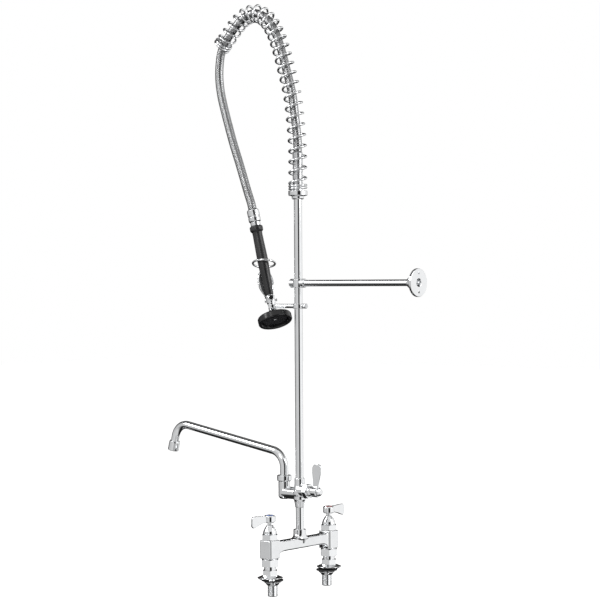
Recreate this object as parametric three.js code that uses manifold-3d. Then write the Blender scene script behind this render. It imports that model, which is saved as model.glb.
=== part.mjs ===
// Pre rinse faucet: deck-mounted bridge base with two lever valves, an add-on swing-spout valve,
// a riser with a wall bracket, an overhead spring and hose, and a squeeze-lever spray valve.
// Millimetres, +Z up. Origin: deck plane, midway between the two inlets.
// +X towards the cold valve, -Y towards the user, +Y towards the wall.
import * as THREE from "three";
import { mergeVertices } from "three/addons/utils/BufferGeometryUtils.js";
import Module from "manifold-3d";

const wasm = await Module();
wasm.setup();

// ---------------------------------------------------------------- driving dimensions
const CENTRES = 203.2; // between the two valves
const SHANK_OFFSET = 8; // eccentric inlet shanks, towards the middle
const SHANK_D = 21.3, SHANK_BOTTOM = -33, SHANK_BORE = 15;
const HOUSING = 32.8, HOUSING_Z0 = 48.5, HOUSING_Z1 = 87;
const BAR_Z0 = 60, BAR_Z1 = 82, BAR_W = 22;
const COLLAR_D = 27.9, COLLAR_TOP = 100;
const PIPE_D = 17.3; // riser and stub, 3/8 inch pipe
const ADDON_Z = 179, ADDON_AXIS = 183; // ball and barrel, and the axis of its stem
const SPOUT_Y = -42.5; // swivel axis of the spout
const SPOUT_D = 18;
const SPOUT_RISE = 10.05; // degrees
const SPOUT_LEAN = 14; // degrees, outlet leans outward
const RISER_TOP = 826;
const SPRING_OD = 41, SPRING_WIRE = 4.8, SPRING_BASE = 831;
const HOSE_D = 18.6;
const BRACKET_Z = 631, BRACKET_D = 14, WALL_Y = 318;
const HOOK_Z = 581.5;
const GRIP_TILT = 14.1; // degrees from vertical
const SPRAY_YAW = 43; // degrees, the spray valve is turned on its hose
const HEAD_TILT = 15; // degrees between grip axis and spray axis
const SPRAY_POINT = [0, -80.6, 605.5]; // lower end of the grip
const FERRULE_TOP = 193; // along the grip axis
const LEVER_REST = 6; // degrees, lever away from the grip at rest

// ---------------------------------------------------------------- helpers
const rad = (d) => (d * Math.PI) / 180;
const group = new THREE.Group();

function bare(geometry) {
  const g = geometry.index ? geometry.toNonIndexed() : geometry.clone();
  const out = new THREE.BufferGeometry();
  out.setAttribute("position", g.getAttribute("position"));
  return out;
}
function solid(geometry, matrix) {
  const g = bare(geometry);
  if (matrix) g.applyMatrix4(matrix);
  const m = mergeVertices(g, 1e-4);
  return new wasm.Manifold(
    new wasm.Mesh({
      numProp: 3,
      vertProperties: new Float32Array(m.attributes.position.array),
      triVerts: new Uint32Array(m.index.array),
    }),
  );
}
function geometryOf(s) {
  const m = s.getMesh(), n = m.numProp;
  const p = new Float32Array(m.numVert * 3);
  for (let i = 0; i < m.numVert; i++)
    for (let k = 0; k < 3; k++) p[3 * i + k] = m.vertProperties[n * i + k];
  const g = new THREE.BufferGeometry();
  g.setAttribute("position", new THREE.BufferAttribute(p, 3));
  g.setIndex(new THREE.BufferAttribute(new Uint32Array(m.triVerts), 1));
  return g;
}
function signedVolume(geometry) {
  const p = bare(geometry).getAttribute("position");
  const a = new THREE.Vector3(), b = new THREE.Vector3(), c = new THREE.Vector3();
  let v = 0;
  for (let i = 0; i < p.count; i += 3) {
    a.fromBufferAttribute(p, i);
    b.fromBufferAttribute(p, i + 1);
    c.fromBufferAttribute(p, i + 2);
    v += a.dot(b.cross(c)) / 6;
  }
  return v;
}
// Facets round a circle: coarse, even, the same for every pair of mating sizes.
const around = (n) => Math.max(8, 2 * Math.round(n * 0.28));
// A body of revolution about Z from [radius, z] pairs: on the axis at both ends, or a closed ring.
function turned(profile, fineness = 24) {
  const segments = around(fineness);
  const onAxis = Math.abs(profile[0][0]) < 1e-9;
  let pts = profile.map(([r, z]) => new THREE.Vector2(r, z));
  if (!onAxis) pts.push(pts[0].clone());
  let g = new THREE.LatheGeometry(pts, segments).rotateX(Math.PI / 2);
  if (signedVolume(g) < 0) g = new THREE.LatheGeometry(pts.reverse(), segments).rotateX(Math.PI / 2);
  return g;
}
const rod = (r, z0, z1, segments = 24, chamfer = 0) =>
  turned(chamfer
    ? [[0, z0], [r - chamfer, z0], [r, z0 + chamfer], [r, z1 - chamfer], [r - chamfer, z1], [0, z1]]
    : [[0, z0], [r, z0], [r, z1], [0, z1]], segments);
const ring = (ri, ro, z0, z1, segments = 24) =>
  turned([[ri, z0], [ro, z0], [ro, z1], [ri, z1]], segments);
// A hexagon prism across flats, with its end corners turned off.
function hex(acrossFlats, z0, z1, chamfer = 1, turn = 0) {
  const R = acrossFlats / Math.sqrt(3);
  const body = solid(new THREE.CylinderGeometry(R, R, z1 - z0, 6).rotateX(Math.PI / 2)
    .rotateZ(turn).translate(0, 0, (z0 + z1) / 2));
  if (!chamfer) return body;
  const k = acrossFlats / 2 + (R - acrossFlats / 2) * 0.35;
  const c = solid(turned([[0, z0], [k, z0], [R + 0.6, z0 + chamfer], [R + 0.6, z1 - chamfer], [k, z1], [0, z1]], 24));
  return body.intersect(c);
}
function roundedRect(w, h, r, n = 3) {
  const s = new THREE.Shape();
  const x = w / 2, y = h / 2;
  s.moveTo(x - r, -y);
  s.absarc(x - r, -y + r, r, -Math.PI / 2, 0, false);
  s.absarc(x - r, y - r, r, 0, Math.PI / 2, false);
  s.absarc(-x + r, y - r, r, Math.PI / 2, Math.PI, false);
  s.absarc(-x + r, -y + r, r, Math.PI, 1.5 * Math.PI, false);
  s.closePath();
  return [s, n];
}
function prism(shape, z0, z1, curveSegments = 3) {
  return new THREE.ExtrudeGeometry(shape, { depth: z1 - z0, bevelEnabled: false, curveSegments })
    .translate(0, 0, z0);
}
function circle(r, n) {
  const s = new THREE.Shape();
  for (let i = 0; i < n; i++) {
    const a = (2 * Math.PI * i) / n;
    i ? s.lineTo(r * Math.cos(a), r * Math.sin(a)) : s.moveTo(r, 0);
  }
  s.closePath();
  return s;
}
function tube(curve, r, sides, steps) {
  return new THREE.ExtrudeGeometry(circle(r, sides), { steps, extrudePath: curve, bevelEnabled: false });
}
const V = (x, y, z) => new THREE.Vector3(x, y, z);
const at = (x, y, z) => new THREE.Matrix4().makeTranslation(x, y, z);
const rotX = (d) => new THREE.Matrix4().makeRotationX(rad(d));
const rotY = (d) => new THREE.Matrix4().makeRotationY(rad(d));
const rotZ = (d) => new THREE.Matrix4().makeRotationZ(rad(d));
const mul = (...m) => m.reduce((a, b) => a.clone().multiply(b));

// ---------------------------------------------------------------- materials
const mat = (color, roughness, metalness) =>
  new THREE.MeshStandardMaterial({ color, roughness, metalness });
const CHROME = mat(0xe6e8ea, 0.06, 1);
const CAST = mat(0xdfe1e3, 0.12, 1);
const STEEL = mat(0xc9ccce, 0.22, 1);
const BRAID = mat(0xb9bcc0, 0.35, 0.9);
const RUBBER = mat(0x17181a, 0.6, 0);
const GRIP = mat(0x202124, 0.42, 0);
const SEAL = mat(0x101112, 0.7, 0);
const BLUE = mat(0x2f6fc4, 0.35, 0);
const RED = mat(0xc42f2f, 0.35, 0);
const FACE = mat(0x3b3d40, 0.4, 0);

function add(name, shape, material, parent = group) {
  const g = shape instanceof THREE.BufferGeometry ? bare(shape) : geometryOf(shape);
  g.computeVertexNormals();
  const m = new THREE.Mesh(g, material);
  m.name = name;
  parent.add(m);
  return m;
}

// ---------------------------------------------------------------- bridge body
{
  const half = CENTRES / 2, h2 = HOUSING / 2, flare = 24;
  // Side outline of the bar with the flares into the housings and the centre collar.
  const s = new THREE.Shape();
  const inner = half - h2;
  s.moveTo(-inner, HOUSING_Z0 + 1.5);
  s.quadraticCurveTo(-inner + 5, BAR_Z0, -inner + flare, BAR_Z0);
  s.lineTo(inner - flare, BAR_Z0);
  s.quadraticCurveTo(inner - 5, BAR_Z0, inner, HOUSING_Z0 + 1.5);
  s.lineTo(inner, HOUSING_Z1 - 1.5);
  s.quadraticCurveTo(inner - 5, BAR_Z1, inner - flare, BAR_Z1);
  s.lineTo(COLLAR_D / 2 + 10, BAR_Z1);
  s.quadraticCurveTo(COLLAR_D / 2, BAR_Z1, COLLAR_D / 2 - 0.6, BAR_Z1 + 9);
  s.lineTo(-COLLAR_D / 2 + 0.6, BAR_Z1 + 9);
  s.quadraticCurveTo(-COLLAR_D / 2, BAR_Z1, -COLLAR_D / 2 - 10, BAR_Z1);
  s.lineTo(-inner + flare, BAR_Z1);
  s.quadraticCurveTo(-inner + 5, BAR_Z1, -inner, HOUSING_Z1 - 1.5);
  s.closePath();
  let body = solid(prism(s, -BAR_W / 2, BAR_W / 2, 4), rotX(90));
  // The bar's long edges are rounded.
  const [r, n] = roundedRect(BAR_W + 0.02, 60, 3.5, 3);
  const round = solid(prism(r, -half, half, n), mul(at(0, 0, 70.5), rotZ(90), rotX(90)));
  const keep = solid(new THREE.BoxGeometry(2 * half, 60, 100), at(0, 0, 70));
  body = body.intersect(keep).intersect(
    round.add(solid(new THREE.BoxGeometry(2 * half, BAR_W, 9), at(0, 0, HOUSING_Z1 - 2)))
      .add(solid(new THREE.BoxGeometry(2 * half, BAR_W, 12), at(0, 0, HOUSING_Z0 + 5.5))));
  for (const side of [1, -1]) {
    const [sq, k] = roundedRect(HOUSING, HOUSING, 4.5, 3);
    body = body.add(solid(prism(sq, HOUSING_Z0, HOUSING_Z1, k), at(side * half, 0, 0)));
    body = body.add(solid(rod(15.4, 40.2, HOUSING_Z0 + 1, 28), at(side * half, 0, 0)));
    body = body.subtract(solid(rod(12, 66, 91, 24), at(side * half, 0, 0)));
    body = body.subtract(solid(rod(8, 38, 67, 20), at(side * half, 0, 0)));
  }
  body = body.add(solid(turned([[0, BAR_Z0 + 1], [COLLAR_D / 2 - 2, BAR_Z0 + 1], [COLLAR_D / 2, BAR_Z1 - 6],
    [COLLAR_D / 2, COLLAR_TOP - 0.8], [COLLAR_D / 2 - 0.8, COLLAR_TOP], [0, COLLAR_TOP]], 32)));
  body = body.subtract(solid(rod(PIPE_D / 2 + 0.3, COLLAR_TOP - 14, COLLAR_TOP + 1, 24)));
  add("bridge_body", body, CAST);
}

// ---------------------------------------------------------------- inlets and deck valves
function valveSide(side, sx, indexMaterial) {
  const x = (sx * CENTRES) / 2, xs = sx * (CENTRES / 2 - SHANK_OFFSET);
  const P = at(x, 0, 0), Q = at(xs, 0, 0), nutTurn = rad(10);
  // Eccentric shank: offset pipe, flange, hex and union tail in one casting.
  let shank = solid(rod(SHANK_D / 2, SHANK_BOTTOM, 4.2, 28, 1), Q);
  shank = shank.add(solid(turned([[0, 3.3], [20.5, 3.3], [26.6, 7], [27.2, 7.6], [26.8, 8.4], [19, 11.6], [0, 11.6]], 36), P));
  shank = shank.add(hex(30, 11, 24.4, 1.2, nutTurn).transform(P.elements));
  shank = shank.add(solid(turned([[0, 23], [12.8, 23], [12.8, 36.2], [14.6, 36.2], [14.6, 38.2], [0, 38.2]], 28), P));
  shank = shank.subtract(solid(rod(SHANK_BORE / 2, SHANK_BOTTOM - 1, 2, 20), Q));
  shank = shank.subtract(solid(rod(8, 14, 39, 20), P));
  shank = shank.subtract(solid(rod(5, 1, 15, 12), at((x + xs) / 2, 0, 0)));
  add(side + "_shank", shank, CHROME);
  add(side + "_deck_washer", solid(ring(SHANK_D / 2 + 0.4, 23, 0, 3, 28), Q), SEAL);
  // Lock nut under the deck: round, its sides tapering down to the shank, with two spanner notches.
  let nut = solid(turned([[SHANK_D / 2 + 0.35, -9.2], [12, -9.2], [12.6, -8.6], [14.2, -6], [17.6, -3.2], [17.6, -2.2], [SHANK_D / 2 + 0.35, -2.2]], 28), Q);
  for (const t of [0, 90])
    nut = nut.subtract(solid(new THREE.BoxGeometry(50, 3, 5).translate(0, 0, -10), mul(Q, rotZ(t + 20))).subtract(solid(rod(12.4, -13, 0, 28), Q)));
  add(side + "_lock_nut", nut, CHROME);
  // Coupling nut: hex outside, shoulder under the tail flange, clear of the housing nipple.
  let coupling = hex(35.2, 31.4, 47.2, 1.4, nutTurn).transform(P.elements);
  coupling = coupling.subtract(solid(turned([[0, 30], [13.2, 30], [13.2, 35.8], [15.8, 35.8], [15.8, 48], [0, 48]], 28), P));
  add(side + "_coupling_nut", coupling, CHROME);
  add(side + "_union_gasket", solid(ring(8.6, 14.2, 38.5, 39.9, 24), P), SEAL);
  // Bonnet: threaded shank in the housing, hex, domed gland nut.
  let bonnet = solid(rod(11.6, 67, 88, 24), P);
  bonnet = bonnet.add(hex(32, 87.3, 100, 1.3, nutTurn).transform(P.elements));
  bonnet = bonnet.add(solid(turned([[0, 99.5], [14.8, 99.5], [14.8, 102.6], [13.8, 106.6], [11, 112.4], [8.4, 116.4], [7.2, 118.6], [0, 118.6]], 28), P));
  bonnet = bonnet.subtract(solid(rod(5.8, 66, 120, 16), P));
  add(side + "_bonnet", bonnet, CHROME);
  add(side + "_stem", solid(turned([[0, 70], [5, 70], [5, 124], [3.6, 124.3], [3.6, 133.4], [0, 133.4]], 16), P), CHROME);
  // Lever handle: round hub with a lever whose flats stand upright.
  const lever = new THREE.Shape(); // x outward, y up
  lever.moveTo(2, 126);
  lever.lineTo(12.6, 125.6);
  lever.quadraticCurveTo(26, 123.6, 36, 120);
  lever.quadraticCurveTo(45, 116.4, 49.5, 116.4);
  lever.quadraticCurveTo(55, 117.4, 55.4, 128.6);
  lever.quadraticCurveTo(55, 140.2, 49.5, 140.9);
  lever.quadraticCurveTo(40, 141.2, 24, 140);
  lever.lineTo(2, 139.2);
  lever.closePath();
  let handle = solid(prism(lever, -2.6, 2.6, 4), rotX(90));
  handle = handle.add(solid(turned([[0, 124.6], [10.5, 124.6], [12, 126.2], [12.4, 136.9], [10.8, 139.8], [0, 139.8]], 28)));
  handle = handle.subtract(solid(rod(4, 123, 133.8, 16)));
  handle = handle.subtract(solid(rod(7.6, 138.6, 143, 20)));
  handle = handle.subtract(solid(rod(2.2, 132, 141, 10)));
  // Both levers point outward, the cold one turned a little towards the user.
  const turn = mul(P, rotZ(sx > 0 ? -5 : 180));
  add(side + "_handle", handle.transform(turn.elements), CHROME);
  add(side + "_index", solid(ring(4.1, 7.2, 138.9, 140.6, 20), P), indexMaterial);
  add(side + "_handle_screw", solid(turned([[0, 133.7], [1.8, 133.7], [1.8, 139], [3.7, 139], [3.7, 140.7], [2.6, 141.4], [0, 141.4]], 12), P), STEEL);
}
valveSide("cold", 1, BLUE);
valveSide("hot", -1, RED);

// ---------------------------------------------------------------- add-on faucet
add("stub_nipple", rod(PIPE_D / 2, COLLAR_TOP - 13.6, 156, 24, 0.6), CHROME);
{
  const A = ADDON_Z;
  let b = solid(turned([[0, 147], [8.9, 147], [9.6, 148], [11.6, 160], [13.2, 164.4], [13.2, 176], [0, 176]], 28));
  b = b.add(solid(turned([[0, 180], [12.2, 180], [12.2, 190], [11.2, 196], [11, 209], [10.2, 210.5], [0, 210.5]], 28)));
  b = b.add(solid(new THREE.SphereGeometry(15, 16, 10), at(0, 0, A - 1)));
  b = b.add(solid(rod(13.2, 0, -SPOUT_Y, 24), mul(at(0, 0, A - 2.4), rotX(90))));
  b = b.add(solid(turned([[0, 162.4], [6.5, 162.4], [10.6, 164.4], [12.7, 168.5], [12.7, 201.4], [0, 201.4]], 28), at(0, SPOUT_Y, 0)));
  b = b.add(solid(rod(14.2, 0, 17, 24, 0.8), mul(at(0, 0, ADDON_AXIS), rotX(-90))));
  b = b.subtract(solid(rod(PIPE_D / 2 + 0.3, 140, 156.4, 24)));
  b = b.subtract(solid(rod(PIPE_D / 2 + 0.3, 198, 215, 24)));
  b = b.subtract(solid(rod(SPOUT_D / 2 + 0.4, 182, 203, 24), at(0, SPOUT_Y, 0)));
  b = b.subtract(solid(rod(9, 4, 18, 20), mul(at(0, 0, ADDON_AXIS), rotX(-90))));
  add("addon_body", b, CAST);
  const Y = mul(at(0, 0, ADDON_AXIS), rotX(-90)); // local z along +Y
  let bn = hex(29.6, 17.4, 27, 1.2, Math.PI / 6).add(solid(rod(8.6, 6, 18, 20)));
  bn = bn.add(solid(turned([[0, 26.5], [11.4, 26.5], [11, 31], [8.6, 35], [0, 35]], 24)))
    .subtract(solid(rod(5.3, 5, 36, 16)));
  add("addon_bonnet", bn.transform(Y.elements), CHROME);
  add("addon_stem", solid(turned([[0, 8], [4.6, 8], [4.6, 36.6], [3.4, 36.9], [3.4, 47], [0, 47]], 16), Y), CHROME);
  // Handle: hub about the stem, lever pointing up, its width along the stem.
  const lv = new THREE.Shape(); // x along the stem (outward), y up from the axis
  lv.moveTo(37.2, 3);
  lv.lineTo(38.2, 12);
  lv.quadraticCurveTo(38.6, 21, 36.4, 36);
  lv.quadraticCurveTo(35.2, 46, 36.4, 52);
  lv.quadraticCurveTo(38.2, 59.4, 48, 60);
  lv.quadraticCurveTo(58.6, 59.6, 59.4, 53);
  lv.quadraticCurveTo(59.6, 46, 56.4, 34);
  lv.quadraticCurveTo(52.6, 20, 51.4, 11);
  lv.lineTo(51.4, 3);
  lv.closePath();
  let h = solid(prism(lv, -2.5, 2.5, 4), mul(at(0, 0, ADDON_AXIS), rotZ(90), rotX(90)));
  h = h.add(solid(turned([[0, 36.8], [10.4, 36.8], [11.6, 38], [11.6, 49.5], [10.4, 51.4], [0, 51.4]], 28), Y));
  h = h.subtract(solid(rod(3.8, 36, 47.4, 16), Y)).subtract(solid(rod(6.4, 49, 53, 20), Y));
  add("addon_handle", h, CHROME);
  add("addon_cap", solid(turned([[0, 49.3], [6, 49.3], [6, 51.8], [8.8, 51.8], [9, 54], [8, 56.6], [5, 58.2], [0, 58.8]], 24), Y), CHROME);
}
// Swing spout.
{
  const nut = solid(turned([[SPOUT_D / 2 + 0.4, 201.8], [14.6, 201.8], [15.6, 203], [15.6, 213.4], [14.6, 214.4], [SPOUT_D / 2 + 0.4, 214.4]], 32), at(0, SPOUT_Y, 0));
  add("spout_nut", nut, CHROME);
  const up = V(0, 0, 1), out = V(0, -Math.cos(rad(SPOUT_RISE)), Math.sin(rad(SPOUT_RISE)));
  const down = V(0, -Math.sin(rad(SPOUT_LEAN)), -Math.cos(rad(SPOUT_LEAN)));
  const c1 = V(0, SPOUT_Y, 261.3), c2 = V(0, -352.4, 316.2);
  const t1 = 38 * Math.tan(rad((90 - SPOUT_RISE) / 2)), t2 = 33 * Math.tan(rad((90 + SPOUT_RISE - SPOUT_LEAN) / 2));
  const start = V(0, SPOUT_Y, 182.6);
  const a1 = c1.clone().addScaledVector(up, -t1), b1 = c1.clone().addScaledVector(out, t1);
  const a2 = c2.clone().addScaledVector(out, -t2), b2 = c2.clone().addScaledVector(down, t2);
  const end = c2.clone().addScaledVector(down, 57);
  const k = 0.5523;
  const curve = new THREE.CurvePath();
  const bez = (p, d0, q, d1, l) => new THREE.CubicBezierCurve3(p, p.clone().addScaledVector(d0, l), q.clone().addScaledVector(d1, -l), q);
  curve.add(new THREE.LineCurve3(start, a1));
  curve.add(bez(a1, up, b1, out, t1 * 0.58));
  curve.add(new THREE.LineCurve3(b1, a2));
  curve.add(bez(a2, out, b2, down, t2 * 0.56));
  curve.add(new THREE.LineCurve3(b2, end));
  // Stations: dense in the bends only.
  const pts = [start, V(0, SPOUT_Y, 214), a1];
  for (let i = 1; i <= 8; i++) pts.push(curve.curves[1].getPoint(i / 8));
  for (let i = 1; i <= 2; i++) pts.push(b1.clone().lerp(a2, i / 3));
  pts.push(a2);
  for (let i = 1; i <= 9; i++) pts.push(curve.curves[3].getPoint(i / 9));
  pts.push(end);
  const poly = new THREE.CurvePath();
  for (let i = 1; i < pts.length; i++) poly.add(new THREE.LineCurve3(pts[i - 1], pts[i]));
  // A curve whose parameter steps from station to station, with smooth tangents.
  class Stations extends THREE.Curve {
    getPoint(t, target = new THREE.Vector3()) {
      const f = t * (pts.length - 1), i = Math.min(Math.floor(f), pts.length - 2);
      return target.copy(pts[i]).lerp(pts[i + 1], f - i);
    }
    getPointAt(t, target) { return this.getPoint(t, target); }
    getTangentAt(t, target = new THREE.Vector3()) {
      const i = Math.round(t * (pts.length - 1));
      const p = pts[Math.max(i - 1, 0)], q = pts[Math.min(i + 1, pts.length - 1)], m = pts[i];
      const u = m.clone().sub(p), v = q.clone().sub(m);
      if (u.lengthSq() > 0) u.normalize();
      if (v.lengthSq() > 0) v.normalize();
      return target.copy(u).add(v).normalize();
    }
    getTangent(t, target) { return this.getTangentAt(t, target); }
  }
  let sp = solid(tube(new Stations(), SPOUT_D / 2, 12, pts.length - 1));
  // Packing rib that the nut holds down, and a groove for the O-ring.
  sp = sp.subtract(solid(ring(SPOUT_D / 2 - 1.2, SPOUT_D / 2 + 2, 187, 190.2, 20), at(0, SPOUT_Y, 0)));
  // The open mouth.
  const M = mul(at(end.x, end.y, end.z), new THREE.Matrix4().makeRotationFromQuaternion(
    new THREE.Quaternion().setFromUnitVectors(V(0, 0, 1), down)));
  sp = sp.subtract(solid(rod(7.2, -24, 1, 16), M));
  add("spout_tube", sp, CHROME);
  add("spout_oring", solid(turned([[SPOUT_D / 2 - 0.9, 187.4], [SPOUT_D / 2 + 0.1, 187.4], [SPOUT_D / 2 + 0.1, 189.8], [SPOUT_D / 2 - 0.9, 189.8]], 20), at(0, SPOUT_Y, 0)), SEAL);
  // Outlet fitting: local z points out of the spout, its lip is past the tube's end.
  const outlet = turned([[SPOUT_D / 2 + 0.35, -13], [11.2, -13], [12.1, -10], [12.4, 8], [11.7, 9], [8.4, 9], [8.4, 0.4], [SPOUT_D / 2 + 0.35, 0.4]], 28);
  add("spout_outlet", solid(outlet, M), CHROME);
}

// ---------------------------------------------------------------- riser, spring and hose
add("riser_pipe", rod(PIPE_D / 2, 198.4, RISER_TOP, 24, 0.6), CHROME);
{
  // Spring collar: cup that carries the spring, clamped on top of the riser.
  let c = solid(turned([[0, 812], [11.5, 812], [13, 814], [13.5, 819], [19.5, 820], [20.5, 821], [20.5, 829.6], [20, 830.5], [0, 830.5]], 36));
  c = c.subtract(solid(rod(PIPE_D / 2 + 0.3, 811, RISER_TOP + 0.4, 24))).subtract(solid(rod(6.3, 820, 832, 20)));
  add("spring_collar", c, CHROME);
  add("hose_adapter", solid(turned([[0, 827], [6, 827], [6, 831], [10, 831], [10, 837.6], [0, 837.6]], 20)), CHROME);
  add("hose_sleeve", solid(turned([[0, 838], [10.8, 838], [10.8, 912], [9.4, 914.7], [0, 914.7]], 28)), STEEL);
}
const ARCH = [[0, 830], [0, 874], [0, 918], [-6, 987], [-14, 1040], [-30, 1096], [-43.5, 1138], [-60, 1177], [-84, 1209],
  [-115, 1224], [-145, 1219], [-169.5, 1203], [-194, 1179], [-218, 1156]];
const arch = new THREE.CatmullRomCurve3(ARCH.map(([y, z]) => V(0, y, z)), false, "centripetal");
{
  // Right-handed helix about the arch, closed end coils, tighter at the top of the arch.
  const table = [];
  const N = 400;
  let s = 0, prev = arch.getPointAt(0), turns = 0;
  const L = arch.getLength();
  const pitch = (d) => {
    if (d < 12 || d > L - 12) return 5.6;
    const u = d / L;
    return u < 0.5 ? 23.5 - 1.5 * Math.max(0, (u - 0.3) / 0.2) : 22 - 4.5 * Math.sin(Math.min(1, (u - 0.5) / 0.25) * Math.PI / 2) + 3 * Math.max(0, (u - 0.8) / 0.2);
  };
  for (let i = 0; i <= N; i++) {
    table.push(turns);
    turns += L / N / pitch(((i + 0.5) * L) / N);
  }
  const total = table[N];
  const R = (SPRING_OD - SPRING_WIRE) / 2;
  const margin = SPRING_WIRE / 2 + 0.5;
  class Helix extends THREE.Curve {
    getPoint(t, target = new THREE.Vector3()) {
      const want = t * total;
      let lo = 0, hi = N;
      while (hi - lo > 1) {
        const m = (lo + hi) >> 1;
        table[m] <= want ? (lo = m) : (hi = m);
      }
      const f = (want - table[lo]) / (table[hi] - table[lo] || 1);
      const d = (lo + f) / N;
      const u = (margin + d * (L - 2 * margin)) / L;
      const p = arch.getPointAt(u), T = arch.getTangentAt(u);
      const X = V(1, 0, 0), B = T.clone().cross(X).normalize();
      const a = 2 * Math.PI * (want - 0.44);
      // X, then T x X: right-handed about the direction of travel.
      return target.copy(p).addScaledVector(X, R * Math.cos(a)).addScaledVector(B, R * Math.sin(a));
    }
    getPointAt(t, target) { return this.getPoint(t, target); }
    getTangentAt(t, target) { return this.getTangent(t, target); }
  }
  add("spring", tube(new Helix(), SPRING_WIRE / 2, 4, Math.round(total * 12)), CHROME);
}
const HOSE_FREE = [[-219.5, 1130], [-222.3, 1103], [-221.4, 1078], [-216.2, 1048], [-206.5, 1014], [-195.5, 980], [-181.9, 940],
  [-167.2, 902], [-154, 866.5], [-141.2, 831.5]];
const axisUp = V(0, -Math.sin(rad(GRIP_TILT)), Math.cos(rad(GRIP_TILT)));
const hoseEnd = V(...SPRAY_POINT).addScaledVector(axisUp, FERRULE_TOP + 0.7);
{
  // Hose: follows the arch, leaves the spring and hangs to the ferrule.
  const route = [V(0, 0, 915.4), V(0, 0, 938)];
  for (const [y, z] of ARCH.slice(3, 13)) route.push(V(0, y, z));
  route.push(V(0, -214, 1150));
  const lower = [V(0, -214, 1150), ...HOSE_FREE.map(([y, z]) => V(0, y, z)),
    hoseEnd.clone().addScaledVector(axisUp, 16), hoseEnd];
  const whole = new THREE.CatmullRomCurve3([...route, ...lower.slice(1)], false, "centripetal");
  const all = whole.getSpacedPoints(120);
  let cut = 0;
  all.forEach((p, i) => { if (p.y < -200 && p.z > 1146) cut = i; });
  const up = new THREE.CatmullRomCurve3(all.slice(0, cut + 1), false, "centripetal");
  const gap = all[cut + 1].clone().sub(all[cut]).normalize().multiplyScalar(1.1);
  const dn = new THREE.CatmullRomCurve3([all[cut].clone().add(gap), ...all.slice(cut + 1)], false, "centripetal");
  add("hose_upper", tube(up, HOSE_D / 2, 8, 24), BRAID);
  add("hose_lower", tube(dn, HOSE_D / 2, 8, 26), BRAID);
}

// ---------------------------------------------------------------- wall bracket
{
  const out = mul(at(0, 0, BRACKET_Z), rotX(-90)), inw = mul(at(0, 0, BRACKET_Z), rotX(90));
  let c = solid(turned([[0, BRACKET_Z - 9.5], [12, BRACKET_Z - 9.5], [12.7, BRACKET_Z - 8.7], [12.7, BRACKET_Z + 8.7], [12, BRACKET_Z + 9.5], [0, BRACKET_Z + 9.5]], 28));
  c = c.add(solid(turned([[0, 0], [9.5, 0], [9.5, 18.4], [8.8, 19.2], [0, 19.2]], 28), out));
  c = c.add(solid(turned([[0, 0], [9.5, 0], [9.5, 18.9], [8.6, 20], [0, 20]], 28), inw));
  c = c.subtract(solid(rod(PIPE_D / 2 + 0.35, BRACKET_Z - 12, BRACKET_Z + 12, 24)));
  c = c.subtract(solid(rod(BRACKET_D / 2 + 0.3, 9.9, 21, 20), out));
  c = c.subtract(solid(rod(3.3, 8, 17, 12), inw)).subtract(solid(rod(4.4, 16.4, 21, 12), inw));
  add("bracket_clamp", c, CHROME);
  // Socket screw that pinches the riser.
  const pinch = solid(turned([[0, 9.4], [3, 9.4], [3, 17], [4, 17], [4, 19], [3.6, 19.4], [0, 19.4]], 12))
    .subtract(solid(new THREE.CylinderGeometry(1.9, 1.9, 4, 6).rotateX(Math.PI / 2).translate(0, 0, 19.4)));
  add("clamp_screw", pinch.transform(inw.elements), STEEL);
  add("bracket_tube", solid(rod(BRACKET_D / 2, 10.2, 303, 20, 0.8), out), CHROME);
  const W = mul(at(0, 0, BRACKET_Z), rotX(-90));
  let f = solid(turned([[BRACKET_D / 2 + 0.3, WALL_Y - 25], [10, WALL_Y - 25], [11.2, WALL_Y - 23.6], [12.2, WALL_Y - 17], [16.4, WALL_Y - 11], [23.4, WALL_Y - 7.4],
    [28.8, WALL_Y - 6.2], [29.5, WALL_Y - 5], [29.5, WALL_Y - 0.8], [28.8, WALL_Y], [8, WALL_Y], [8, WALL_Y - 12], [BRACKET_D / 2 + 0.3, WALL_Y - 14]], 36), W);
  for (const dz of [19.8, -19.8])
    f = f.subtract(solid(rod(2.4, WALL_Y - 16, WALL_Y + 2, 12), mul(at(0, 0, BRACKET_Z + dz), rotX(-90))));
  add("wall_flange", f, CHROME);
}

// ---------------------------------------------------------------- finger hook
{
  const neck = [0, -74.7];
  let c = solid(turned([[0, HOOK_Z - 5.2], [11.6, HOOK_Z - 5.2], [12.2, HOOK_Z - 4.6], [12.2, HOOK_Z + 4.6], [11.6, HOOK_Z + 5.2], [0, HOOK_Z + 5.2]], 28));
  c = c.add(solid(rod(5, 0, 14, 16), mul(at(0, 0, HOOK_Z), rotX(-90))));
  c = c.add(solid(rod(4.6, 9, 62, 14), mul(at(0, 0, HOOK_Z), rotX(90))));
  // Saddle with two short prongs that take the neck of the spray valve.
  let saddle = solid(prism(circle(14.2, 24), HOOK_Z - 4.5, HOOK_Z + 4.5), at(neck[0], neck[1], 0));
  saddle = saddle.subtract(solid(prism(circle(9.9, 24), HOOK_Z - 6, HOOK_Z + 6), at(neck[0], neck[1], 0)));
  saddle = saddle.subtract(solid(new THREE.BoxGeometry(60, 40, 20), at(neck[0], neck[1] - 20 + 1.5, HOOK_Z)));
  c = c.add(saddle);
  c = c.subtract(solid(rod(PIPE_D / 2 + 0.35, HOOK_Z - 12, HOOK_Z + 12, 24)));
  c = c.subtract(solid(rod(2.6, 8, 19, 12), mul(at(0, 0, HOOK_Z), rotX(-90))));
  add("finger_hook", c, CHROME);
  const t = solid(turned([[0, 9.5], [2.3, 9.5], [2.3, 14.6], [3.4, 14.6], [4.9, 15.4], [5.3, 16.2], [5.3, 21.4], [4.7, 22.2], [0, 22.2]], 16), mul(at(0, 0, HOOK_Z), rotX(-90)));
  add("hook_thumbscrew", t, STEEL);
}

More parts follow.
